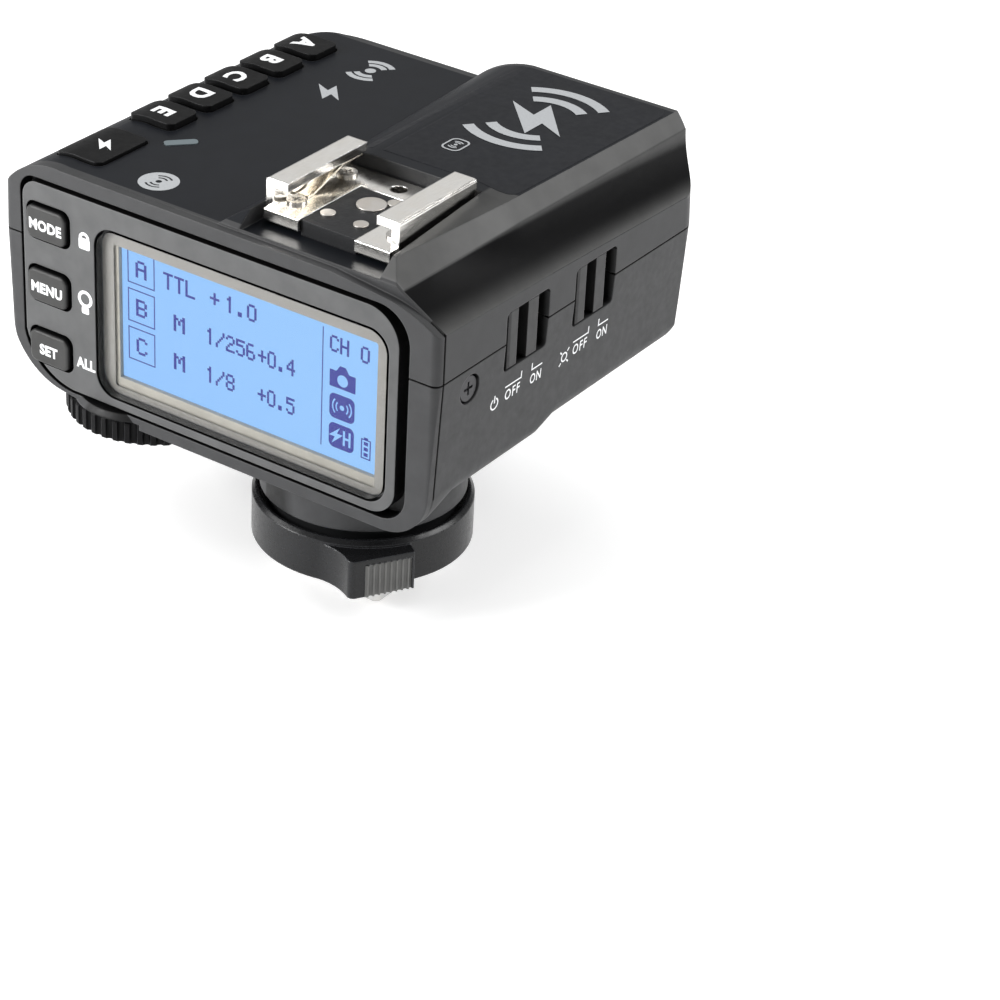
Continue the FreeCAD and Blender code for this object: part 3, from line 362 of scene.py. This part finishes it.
def display_ink():
    """The dark cells of the lit display."""
    f = Finish("display_ink", Roughness=0.5, Specular_IOR_Level=0.1)
    shade = f.blend(f.span(f.noise(0.4, 2.0), 0.3, 0.7), (0.056, 0.064, 0.33), (0.070, 0.078, 0.38))
    f.set("Base Color", f.blend(0.95, shade, (0.0, 0.0, 0.0)))
    f.set("Emission Color", shade)
    f.set("Emission Strength", 0.9)
    return f


def window(name, tint, cover, rough=0.04, shaded_sides=False):
    """A clear or tinted window; cover is how much of what is behind it the tint hides. The sides switch
    paints the window's sides in shade and makes them opaque.
    """
    f = Finish(name, Base_Color=tint, IOR=1.49)
    f.set("Alpha", cover)
    if shaded_sides:
        # Painted shade: the window's sides go dark and opaque.
        north = f.facing()[1]
        side = f.span(f.times(north, north), 0.6, 0.3)
        f.set("Base Color", f.blend(side, tint, SHADOW))
        f.set("Alpha", f.span(side, 0.0, 1.0, cover, 1.0))
    f.set("Roughness", f.span(f.noise(6.0, 2.0), 0.3, 0.7, rough, rough + 0.05))
    return f


def circuit(name, colour):
    """Solder mask over copper tracks."""
    f = Finish(name, Roughness=0.35)
    cells = f.add("ShaderNodeTexBrick", {"Vector": f.spot, "Scale": 1 / (6 * MM), "Mortar Size": 0.03})
    f.set("Base Color", f.blend(cells.outputs["Fac"], colour, tuple(c * 1.8 + 0.02 for c in colour)))
    f.relief(cells.outputs["Fac"], 0.02)
    return f


def sleeve():
    """Two-tone battery sleeve, dark with a bright end band."""
    f = Finish("cell_sleeve", Roughness=0.3)
    x, y, z = f.axes(f.spot)
    band = f.span(x, 2.0 * MM, 2.2 * MM)
    wear = f.span(f.noise(1.2, 3.0), 0.3, 0.7, 0.0, 0.3)
    film = f.blend(wear, (0.03, 0.035, 0.04), (0.06, 0.06, 0.07))
    f.set("Base Color", f.blend(band, film, (0.55, 0.33, 0.12)))
    f.relief(f.noise(0.5, 2.0), 0.005)
    return f


# The edge gains lighten edges as wear and painted highlight, strongest on the ring and the dial; the dark
# masks paint shade.
finishes = {
    "top": top_plastic(),
    "low": moulded("low_plastic", GREY_WALL, 0.50, edge_mm=0.3, edge_highlight_gain=1.6, dark=gap_shade),
    "plate": moulded("face_plastic", (0.092, 0.093, 0.094), 0.50, edge_mm=0.3, edge_highlight_gain=1.5, dark=side_shade),
    "button": moulded("button_plastic", (0.034, 0.034, 0.033), 0.42, edge_mm=0.3, edge_highlight_gain=2.2,
                      dark=side_shade),
    "key": moulded("key_plastic", (0.0045, 0.0045, 0.0048), 0.42, edge_mm=0.3, edge_highlight_gain=4.0, shine=0.12),
    "slider": moulded("slider_plastic", (0.045, 0.045, 0.046), 0.50, edge_mm=0.2, edge_highlight_gain=1.8,
                      dark=slot_shade),
    "ring": moulded("ring_plastic", (0.008, 0.0082, 0.009), 0.26, grain_mm=0.3, grain_depth=0.004,
                    edge_mm=0.3, edge_highlight_gain=8.0),
    "grip": moulded("grip_plastic", (0.15, 0.15, 0.145), 0.45, edge_mm=0.1, edge_highlight_gain=1.2),
    "dial": moulded("dial_rubber", (0.0025, 0.0025, 0.0028), 0.45, grain_depth=0.015, edge_mm=0.2,
                    edge_highlight_gain=12.0, shine=0.12),
    "hub": moulded("hub_plastic", (0.012, 0.0123, 0.013), 0.36, grain_mm=0.3, shine=0.15),
    "insulator": moulded("insulator_plastic", (0.016, 0.0165, 0.018), 0.55, grain_mm=0.35, grain_depth=0.03),
    "ivory": moulded("ivory_plastic", (0.34, 0.325, 0.285), 0.45, edge_highlight_gain=1.1),
    "switch": moulded("switch_plastic", (0.03, 0.03, 0.03), 0.5),
    "ceramic": moulded("ceramic_block", (0.62, 0.62, 0.58), 0.4),
    "nickel": plated("bright_nickel", (0.95, 0.93, 0.89), 0.17, (1, 0.12, 1), dirt=0.12, edge_mm=0.25),
    "spring": plated("spring_steel", (0.74, 0.69, 0.60), 0.26, (1, 0.2, 1), dirt=0.5),
    "contact": plated("contact_metal", (0.74, 0.71, 0.67), 0.34, dirt=0.3),
    "gold": plated("gold_rim", (0.85, 0.60, 0.38), 0.3, dirt=0.3),
    "screw": plated("black_screw", (0.075, 0.075, 0.078), 0.38),
    "steel": plated("plain_steel", (0.62, 0.60, 0.57), 0.28, dirt=0.2),
    "alloy": plated("foot_alloy", (0.60, 0.60, 0.60), 0.35, (1, 0.1, 1), dirt=0.2),
    "can": plated("tin_plate", (0.55, 0.55, 0.55), 0.35, dirt=0.3),
    "lcd": display_glow(),
    "glass": window("lens_glass", (0.35, 0.38, 0.40), 0.02, shaded_sides=True),
    "red_window": window("red_window", (0.10, 0.004, 0.008), 0.93),
    "lamp": printed("lamp_pipe", (0.13, 0.165, 0.18), 0.3),
    "led": window("led_dome", (0.6, 0.08, 0.05), 0.8),
    "board": circuit("green_board", (0.012, 0.10, 0.035)),
    "film_amber": circuit("amber_film", (0.35, 0.16, 0.04)),
    "cell": sleeve(),
    # The white ink glows a little as painted light.
    "white_ink": printed("white_ink", (0.88, 0.89, 0.90), painted_glow=0.12),
    "grey_ink": printed("grey_ink", (0.44, 0.455, 0.47), 0.45),
    "dark_ink": printed("dark_ink", (0.03, 0.032, 0.036), 0.45),
    "border_ink": printed("border_ink", (0.225, 0.217, 0.200), 0.32),
    "lcd_ink": display_ink(),
    "film": moulded("print_film", (0.0065, 0.0075, 0.0105), 0.38, shine=0.16, grain_mm=0.5,
                    grain_depth=0.003, edge_mm=0.05, edge_highlight_gain=2.5),
}

NODE_FINISH = {
    "top": ["top_cover"],
    "low": ["bottom_cover", "battery_door"],
    "plate": ["rear_panel"],
    "button": ["mode_button", "menu_button", "set_button"],
    "key": [f"group_key_{letter}" for letter in "abcde"] + ["test_button"],
    "slider": ["power_switch", "assist_lamp_switch"],
    "ring": ["lock_ring"],
    "grip": ["ring_grip"],
    "dial": ["select_dial"],
    "hub": ["foot_hub"],
    "insulator": ["shoe_insert", "contact_carrier"],
    "ivory": ["lcd_frame"],
    "switch": ["power_switch_body", "assist_switch_body", "key_switches", "sync_jack"],
    "ceramic": ["antenna"],
    "nickel": ["shoe_rails"],
    "spring": ["shoe_springs", "battery_contacts"],
    "contact": ["shoe_contacts"],
    "gold": [f"contact_pin_{number}" for number in range(1, 5)],
    "screw": ["case_screws"],
    "steel": ["lock_pin", "dial_shaft", "board_screws", "foot_screws", "shoe_screws"],
    "alloy": ["foot_plate"],
    "can": ["usb_socket", "radio_module", "dial_encoder", "rear_switches"],
    "lcd": ["lcd_panel"],
    "glass": ["display_lens"],
    "red_window": ["assist_lens"],
    "lamp": ["status_lamp"],
    "led": ["assist_led", "status_led"],
    "board": ["main_board", "rear_board", "key_board", "port_board", "dial_board"],
    "film_amber": ["flex_ribbon"],
    "cell": ["battery_cells"],
}


def soften(item, degrees=28):
    """Smooth shading that keeps a crease wherever faces meet at more than this angle."""
    mesh = item.data
    limit = math.cos(math.radians(degrees))
    around = {}
    for face in mesh.polygons:
        for corner in face.vertices:
            key = tuple(round(value, 7) for value in mesh.vertices[corner].co)
            around.setdefault(key, []).append(face)
    keys = [tuple(round(value, 7) for value in vertex.co) for vertex in mesh.vertices]
    normals = []
    for face in mesh.polygons:
        for corner in face.vertices:
            near = [other.normal * other.area for other in around[keys[corner]]
                    if other.normal.dot(face.normal) > limit]
            total = sum(near, Vector())
            normals.append(total.normalized() if total.length > 0 else face.normal)
    for face in mesh.polygons:
        face.use_smooth = True
    mesh.normals_split_custom_set(normals)


def paint(item, finish):
    item.data.materials.clear()
    item.data.materials.append(finishes[finish].material)


for finish, nodes in NODE_FINISH.items():
    for node in nodes:
        paint(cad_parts[node], finish)
        soften(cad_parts[node], 14 if node == "top_cover" else 28)

# ---------------------------------------------------------------- making thin printed shapes

INK = 0.02


def flat_curve(name, loops, thick):
    """A filled flat plate from closed loops of (u, v) points in millimetres; inner loops are holes."""
    curve = bpy.data.curves.new(name, "CURVE")
    curve.dimensions = "2D"
    curve.fill_mode = "BOTH"
    curve.extrude = thick / 2 * MM
    for loop in loops:
        spline = curve.splines.new("POLY")
        spline.points.add(len(loop) - 1)
        for point, (u, v) in zip(spline.points, loop):
            point.co = (u * MM, v * MM, 0, 1)
        spline.use_cyclic_u = True
    return curve


def text_curve(words, high, weight, spacing):
    """Words in the plain built-in face, centred, with capitals this high."""
    curve = bpy.data.curves.new("words", "FONT")
    curve.body = words
    curve.align_x = "CENTER"
    curve.size = high / 0.729 * MM
    curve.extrude = INK / 2 * MM
    curve.offset = weight * high * MM
    curve.space_character = spacing
    curve.resolution_u = 3
    return curve


def to_mesh(name, curve, squeeze=1.0, drop=0.0):
    """A curve turned into a mesh object, squeezed across and moved down by a height in millimetres."""
    holder = bpy.data.objects.new(name, curve)
    bpy.context.collection.objects.link(holder)
    mesh = bpy.data.meshes.new_from_object(holder.evaluated_get(bpy.context.evaluated_depsgraph_get()))
    bpy.data.objects.remove(holder)
    for vertex in mesh.vertices:
        vertex.co.x *= squeeze
        vertex.co.y -= drop * MM
    return mesh


def merged(meshes):
    """Several meshes as one."""
    joined = bmesh.new()
    for mesh in meshes:
        joined.from_mesh(mesh)
    result = bpy.data.meshes.new("joined")
    joined.to_mesh(result)
    joined.free()
    return result


def lettering(words, high, squeeze=1.0, weight=0.05, spacing=1.06):
    return to_mesh("words", text_curve(words, high, weight, spacing), squeeze, high / 2)


def plate(loops, thick):
    return to_mesh("plate", flat_curve("plate", loops, thick))


def moved(mesh, u=0.0, v=0.0):
    for vertex in mesh.vertices:
        vertex.co.x += u * MM
        vertex.co.y += v * MM
    return mesh


def arc(u, v, radius, start, end, steps=24):
    """Points along an arc, from one angle to another in degrees."""
    angles = [math.radians(start + (end - start) * step / steps) for step in range(steps + 1)]
    return [(u + radius * math.cos(a), v + radius * math.sin(a)) for a in angles]


def disc(u, v, radius, steps=32):
    return arc(u, v, radius, 0, 360, steps)[:-1]


def band(u, v, radius, wide, start, end):
    """A stroke along an arc."""
    return arc(u, v, radius + wide / 2, start, end) + arc(u, v, radius - wide / 2, end, start)


def stroke(u0, v0, u1, v1, wide):
    """A straight stroke between two points."""
    along = Vector((u1 - u0, v1 - v0)).normalized()
    side = Vector((-along.y, along.x)) * wide / 2
    return [(u0 + side.x, v0 + side.y), (u0 - side.x, v0 - side.y), (u1 - side.x, v1 - side.y),
            (u1 + side.x, v1 + side.y)]


def round_box(left, right, low, high, radius):
    """A rectangle with rounded corners."""
    points = []
    for u, v, turn in ((right, low, -90), (right, high, 0), (left, high, 90), (left, low, 180)):
        centre = (u - radius if u == right else u + radius, v + radius if v == low else v - radius)
        points += arc(*centre, radius, turn, turn + 90, 8)
    return points


def bolt(u, v, high):
    """A flash bolt, centred."""
    shape = [(0.26, 0.5), (-0.42, -0.08), (-0.06, -0.08), (-0.24, -0.5), (0.44, 0.13), (0.08, 0.13)]
    return [(u + a * high, v + b * high) for a, b in shape]


# Each side has its own across and up directions: a print reads along the first and stands up along
# the second.
SIDES = {
    "rear": (Vector((1, 0, 0)), Vector((0, 0, 1))),
    "right": (Vector((0, 1, 0)), Vector((0, 0, 1))),
    "left": (Vector((0, -1, 0)), Vector((0, 0, 1))),
    "top": (Vector((0, -1, 0)), Vector((1, 0, 0))),
    "under": (Vector((-1, 0, 0)), Vector((0, 1, 0))),
}


def apply_print(name, mesh, side, centre, node, body, finish, lift=0.012, cut_mm=0.0):
    """Stands a flat mesh on a side, lays it onto a node's surface and makes it ride on a body."""
    across, up = SIDES[side]
    out = across.cross(up)
    shape = bmesh.new()
    shape.from_mesh(mesh)
    if cut_mm:
        for axis in range(2):
            values = [vertex.co[axis] for vertex in shape.verts]
            way = Vector((1, 0, 0)) if axis == 0 else Vector((0, 1, 0))
            pitch = cut_mm * MM
            for step in range(math.ceil(min(values) / pitch), math.floor(max(values) / pitch) + 1):
                geometry = shape.verts[:] + shape.edges[:] + shape.faces[:]
                bmesh.ops.bisect_plane(shape, geom=geometry, plane_co=way * step * cut_mm * MM, plane_no=way)
    bmesh.ops.remove_doubles(shape, verts=shape.verts, dist=1e-7)
    tree = None
    if node:
        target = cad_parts[node].data
        tree = BVHTree.FromPolygons([v.co for v in target.vertices], [p.vertices[:] for p in target.polygons])
    start = place(*centre)
    for vertex in shape.verts:
        flat = start + across * vertex.co.x + up * vertex.co.y
        level = vertex.co.z
        if tree:
            hit, _, _, _ = tree.ray_cast(flat + out * 6 * MM, -out, 12 * MM)
            flat = hit if hit else flat
        vertex.co = flat + out * (level + lift * MM)
    bmesh.ops.recalc_face_normals(shape, faces=shape.faces)
    shape.to_mesh(mesh)
    shape.free()
    item = bpy.data.objects.new(name, mesh)
    bpy.context.collection.objects.link(item)
    paint(item, finish)
    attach(item, body)
    return item


# ---------------------------------------------------------------- display

DOTS = {
    "A": "01110 10001 10001 11111 10001 10001 10001", "B": "11110 10001 10001 11110 10001 10001 11110",
    "C": "01110 10001 10000 10000 10000 10001 01110", "H": "10001 10001 10001 11111 10001 10001 10001",
    "T": "11111 00100 00100 00100 00100 00100 00100", "L": "10000 10000 10000 10000 10000 10000 11111",
    "M": "10001 11011 10101 10101 10001 10001 10001", "+": "00000 00100 00100 11111 00100 00100 00000",
    ".": "00000 00000 00000 00000 00000 01100 01100", "/": "00001 00001 00010 00100 01000 10000 10000",
    "0": "01110 10001 10001 10001 10001 10001 01110", "1": "00100 01100 00100 00100 00100 00100 00100",
    "2": "01110 10001 00001 00110 01000 10000 11111", "4": "00010 00110 01010 10010 11111 00010 00010",
    "5": "11111 10000 11110 00001 00001 10001 01110", "6": "01110 10000 10000 11110 10001 10001 01110",
    "8": "01110 10001 10001 01110 10001 10001 01110", " ": "00000 00000 00000 00000 00000 00000 00000",
}

DOT_SPREAD = 0.035  # how far a dot bleeds sideways, in millimetres


def dot_text(words, left, low, wide=0.28, high=0.335, step=6):
    """Loops for words in five by seven dots; dots that touch in a row are one loop."""
    loops = []
    for place_number, letter in enumerate(words):
        for row, bits in enumerate(DOTS[letter].split()):
            column = 0
            while column < 5:
                run = len(bits[column:]) - len(bits[column:].lstrip("1"))
                if run:
                    u = left + (place_number * step + column) * wide
                    v = low + (6 - row) * high
                    end = u + run * wide + DOT_SPREAD
                    u -= DOT_SPREAD
                    loops.append([(u, v), (end, v), (end, v + high), (u, v + high)])
                column += max(run, 1)
    return loops


def box_frame(left, right, low, high, wide):
    """A rectangle's outline as four strokes."""
    return [[(left, low), (right, low), (right, low + wide), (left, low + wide)],
            [(left, high - wide), (right, high - wide), (right, high), (left, high)],
            [(left, low), (left + wide, low), (left + wide, high), (left, high)],
            [(right - wide, low), (right, low), (right, high), (right - wide, high)]]


def waves(u, v, size, wide, turn=90):
    """A generic radio sign: a dot with two arcs on each side."""
    loops = [disc(u, v, size * 0.12)]
    for radius in (0.3, 0.48):
        for middle in (turn, turn + 180):
            loops.append(band(u, v, size * radius, wide, middle - 42, middle + 42))
    return loops


def display_segments():
    """The dark cells of the display: group rows at the left, status signs at the right."""
    parts = []
    row_low = (37.35, 31.65, 25.95)
    for low, letter in zip(row_low, "ABC"):
        parts += box_frame(-30.1, -25.5, low - 1.0, low + 3.9, 0.17)
        parts += dot_text(letter, -28.7, low + 0.1, 0.36, 0.36)
    parts += dot_text("TTL", -24.0, row_low[0], 0.31, 0.345) + dot_text("+", -16.2, row_low[0], 0.30, 0.345)
    parts += dot_text("1.0", -13.7, row_low[0], 0.30, 0.345)
    for low, ratio in ((row_low[1], "1/256"), (row_low[2], "1/8")):
        parts += dot_text("M", -22.3, low, 0.37, 0.345) + dot_text(ratio, -16.9, low, 0.28, 0.345)
    parts += dot_text("+0.4", -8.25, row_low[1], 0.26, 0.345)
    parts += dot_text("+0.5", -8.25, row_low[2], 0.26, 0.345)
    parts += dot_text("CH 0", 3.25, 37.5, 0.27, 0.33)
    parts.append([(2.05, 23.3), (2.2, 23.3), (2.2, 40.5), (2.05, 40.5)])
    meshes = [plate([loop], INK) for loop in parts]
    camera_sign = [(3.3, 32.5), (7.4, 32.5), (7.4, 34.9), (6.35, 34.9), (5.8, 35.75), (4.9, 35.75),
                   (4.35, 34.9), (3.3, 34.9)]
    meshes.append(plate([camera_sign, disc(5.35, 33.7, 0.85)], INK))
    meshes.append(plate([round_box(3.35, 7.35, 28.0, 31.6, 0.8)] + waves(5.35, 29.8, 3.1, 0.22, 0), INK))
    sync_loops = [round_box(3.35, 7.35, 23.7, 27.3, 0.8), bolt(4.45, 25.5, 2.6)] + [
        [(5.6, 24.4), (5.95, 24.4), (5.95, 25.3), (6.5, 25.3), (6.5, 24.4), (6.85, 24.4), (6.85, 26.6),
         (6.5, 26.6), (6.5, 25.65), (5.95, 25.65), (5.95, 26.6), (5.6, 26.6)]]
    meshes.append(plate(sync_loops, INK))
    meshes += [plate([loop], INK) for loop in box_frame(8.5, 10.05, 23.7, 26.6, 0.17)]
    for v in (24.1, 24.9, 25.7):
        meshes.append(plate([[(8.95, v), (9.6, v), (9.6, v + 0.5), (8.95, v + 0.5)]], INK))
    meshes.append(plate([[(8.95, 26.6), (9.6, 26.6), (9.6, 26.85), (8.95, 26.85)]], INK))
    return merged(meshes)


def flat_at(node, side):
    """The outer face of a node on one side, in millimetres."""
    low, high = corners(node)
    return {"rear": low.y, "right": high.x, "left": low.x, "top": high.z, "under": low.z}[side]


apply_print("display_segments", display_segments(), "rear", (0, flat_at("lcd_panel", "rear"), 0), None, HOME,
            "lcd_ink", lift=INK / 2 + 0.005)

lens_low, lens_high = corners("display_lens")
border = plate([round_box(lens_low.x + 0.1, lens_high.x - 0.1, lens_low.z + 0.1, lens_high.z - 0.1, 2.9),
                round_box(-31.8, 11.3, 20.5, 41.5, 0.4)], 0.04)
apply_print("lens_border", border, "rear", (0, lens_high.y + 0.1, 0), None, HOME, "border_ink",
            lift=0)

# ---------------------------------------------------------------- prints on the buttons and the face plate

for node, words in (("mode_button", "MODE"), ("menu_button", "MENU"), ("set_button", "SET")):
    low, high = corners(node)
    middle = ((low.x + high.x) / 2, low.y, (low.z + high.z) / 2 - 0.1)
    apply_print(node + "_print", lettering(words, 1.5, 0.93, 0.055), "rear", middle, node, node, "white_ink",
                cut_mm=0.5)

PLATE_Y = flat_at("rear_panel", "rear")
lock_sign = merged([plate([round_box(-0.95, 0.95, -1.3, 0.35, 0.3)], INK),
                    plate([band(0, 0.3, 0.68, 0.42, 0, 180)], INK)])
bulb_sign = merged([plate([disc(0, 0.45, 1.25), disc(0, 0.45, 0.78)], INK),
                    plate([round_box(-0.62, 0.62, -1.75, -0.72, 0.25)], INK)])
for name, mesh, x, z in (("lock_sign", lock_sign, -35.7, 41.3), ("bulb_sign", bulb_sign, -35.75, 32.2),
                         ("all_sign", lettering("ALL", 1.55, 0.86, 0.055), -35.85, 22.85)):
    apply_print(name, mesh, "rear", (x, PLATE_Y, z), "rear_panel", HOME, "white_ink")

# ---------------------------------------------------------------- prints on the keys and the top

for letter in "abcde":
    node = f"group_key_{letter}"
    low, high = corners(node)
    middle = ((low.x + high.x) / 2 + 0.15, (low.y + high.y) / 2, high.z)
    apply_print(node + "_print", lettering(letter.upper(), 2.9, 1.05, 0.06), "top", middle, node, node,
                "white_ink", cut_mm=0.5)

low, high = corners("test_button")
test_sign = plate([bolt(0, 0, 3.7)], INK)
apply_print("test_button_print", test_sign, "top", ((low.x + high.x) / 2 + 0.4, (low.y + high.y) / 2, high.z),
            "test_button", "test_button", "white_ink", cut_mm=0.5)

badge = plate([disc(0, 0, 2.75)] + waves(0, 0, 3.6, 0.3, 0), INK)
apply_print("radio_badge", badge, "top", (-28.0, -8.6, 50), "top_cover", HOME, "grey_ink",
            cut_mm=1.0)

link_sign = merged([plate([loop], INK) for loop in waves(-4.8, 0, 6.6, 0.85, 0) + [bolt(4.9, 0, 5.6)]])
apply_print("link_sign", link_sign, "top", (-28.7, 33.8, 50), "top_cover", HOME, "grey_ink",
            cut_mm=1.0)

film_loop = ([(10.8, -9.4), (10.9, 9.1), (10.25, 12.4)] + arc(11.6, 13.5, 1.4, 195, 94, 8)
             + arc(43.7, 13.7, 2.5, 90, 0, 8) + arc(43.7, -5.9, 2.5, 0, -90, 8) + [(20, -9.0)])
film_mesh = plate([[(-u, v) for u, v in film_loop]], 0.03)
apply_print("platform_film", film_mesh, "top", (0, 0, 54.2), "top_cover", HOME, "film",
            lift=0.02, cut_mm=2.0)

flash_sign = merged([plate([loop], INK) for loop in
                     [bolt(0, 0, 11.5)] + [band(0, 0, radius, 1.6, middle - 38, middle + 38)
                                           for radius in (6.4, 9.6) for middle in (0, 180)]])
badge_rim = plate([round_box(-1.9, 1.9, -1.45, 1.45, 1.0), round_box(-1.65, 1.65, -1.2, 1.2, 0.8)], INK)
small_badge = merged([badge_rim] + [plate([loop], INK) for loop in waves(0, 0, 2.1, 0.2, 0)])
for name, mesh, x, y in (("flash_sign", flash_sign, 3.6, 32.2), ("small_badge", small_badge, 0.2, 18.2)):
    apply_print(name, mesh, "top", (x, y, 54.25), None, HOME, "grey_ink", lift=0.04)

# ---------------------------------------------------------------- prints on the right side


def switch_prints(step):
    """OFF and ON with their brackets, under one switch."""
    start = SLOT_PITCH * step
    parts = [moved(lettering("OFF", 1.55, 0.83, 0.012, 1.2), start + 3.2, 31.0),
             moved(lettering("ON", 1.5, 0.78, 0.012, 1.15), start + 8.6, 30.9)]
    lines = [stroke(start + 1.4, 32.25, start + 5.15, 32.25, 0.2),
             stroke(start + 5.05, 32.1, start + 5.05, 33.2, 0.2),
             stroke(start + 7.5, 33.3, start + 7.5, 32.3, 0.2),
             stroke(start + 7.4, 32.3, start + 9.9, 32.3, 0.2)]
    return parts + [plate([loop], INK) for loop in lines]


power_sign = [band(-0.85, 30.8, 0.78, 0.22, 115, 425), stroke(-0.85, 30.9, -0.85, 32.0, 0.22)]
lamp_sign = [band(15.4, 30.85, 0.62, 0.22, 0, 360)]
for quarter in range(4):
    angle = math.radians(45 + 90 * quarter)
    lamp_sign.append(stroke(15.4 + 0.95 * math.cos(angle), 30.85 + 0.95 * math.sin(angle),
                            15.4 + 1.5 * math.cos(angle), 30.85 + 1.5 * math.sin(angle), 0.22))
signs = [plate([loop], INK) for loop in power_sign + lamp_sign]
side_mesh = merged(switch_prints(0) + switch_prints(1) + signs)
apply_print("side_prints", side_mesh, "right", (flat_at("bottom_cover", "right"), 0, 0), "bottom_cover", HOME,
            "white_ink", cut_mm=1.5)

# ---------------------------------------------------------------- stage and light


def soft_box(name, where, at, wide, high, watts, colour=(1, 1, 1)):
    lamp = bpy.data.lights.new(name, "AREA")
    lamp.shape = "RECTANGLE"
    lamp.size, lamp.size_y = wide, high
    lamp.energy = watts
    lamp.color = colour
    item = bpy.data.objects.new(name, lamp)
    bpy.context.collection.objects.link(item)
    item.location = where
    item.rotation_euler = (Vector(at) - Vector(where)).to_track_quat("-Z", "Y").to_euler()


def stage():
    """A pale floor, an even surround and five soft boxes."""
    bpy.ops.mesh.primitive_plane_add(size=6, location=(0, 0, cad_box[0][2] - 0.0002))
    floor = bpy.context.object
    floor.name = "floor"
    f = Finish("pale_floor", Roughness=0.6)
    f.set("Base Color", f.blend(f.span(f.noise(300, 2.0), 0.3, 0.7), (0.86, 0.86, 0.86), (0.90, 0.90, 0.90)))
    f.set("Emission Color", (1.0, 1.0, 1.0))
    f.set("Emission Strength", 0.42)
    floor.data.materials.append(f.material)
    world = bpy.data.worlds.new("surround")
    bpy.context.scene.world = world
    world.use_nodes = True
    world.node_tree.nodes["Background"].inputs["Color"].default_value = (1, 1, 1, 1)
    world.node_tree.nodes["Background"].inputs["Strength"].default_value = 0.36
    middle = (-0.014, 0.017, 0.03)
    soft_box("rear_box", (-0.20, -0.24, 0.14), (-0.04, -0.015, 0.035), 0.14, 0.12, 1.0)
    soft_box("right_box", (0.62, 0.45, 0.62), middle, 0.5, 0.4, 4.8)
    soft_box("high_box", (-0.1, 0.5, 0.9), middle, 0.5, 0.5, 2.0)
    soft_box("front_box", (-0.62, 0.98, 0.72), middle, 0.6, 0.5, 0.3)
    soft_box("left_box", (-0.7, -0.2, 0.6), middle, 0.4, 0.4, 2.5)
    bpy.context.scene.view_settings.view_transform = "Standard"


stage()
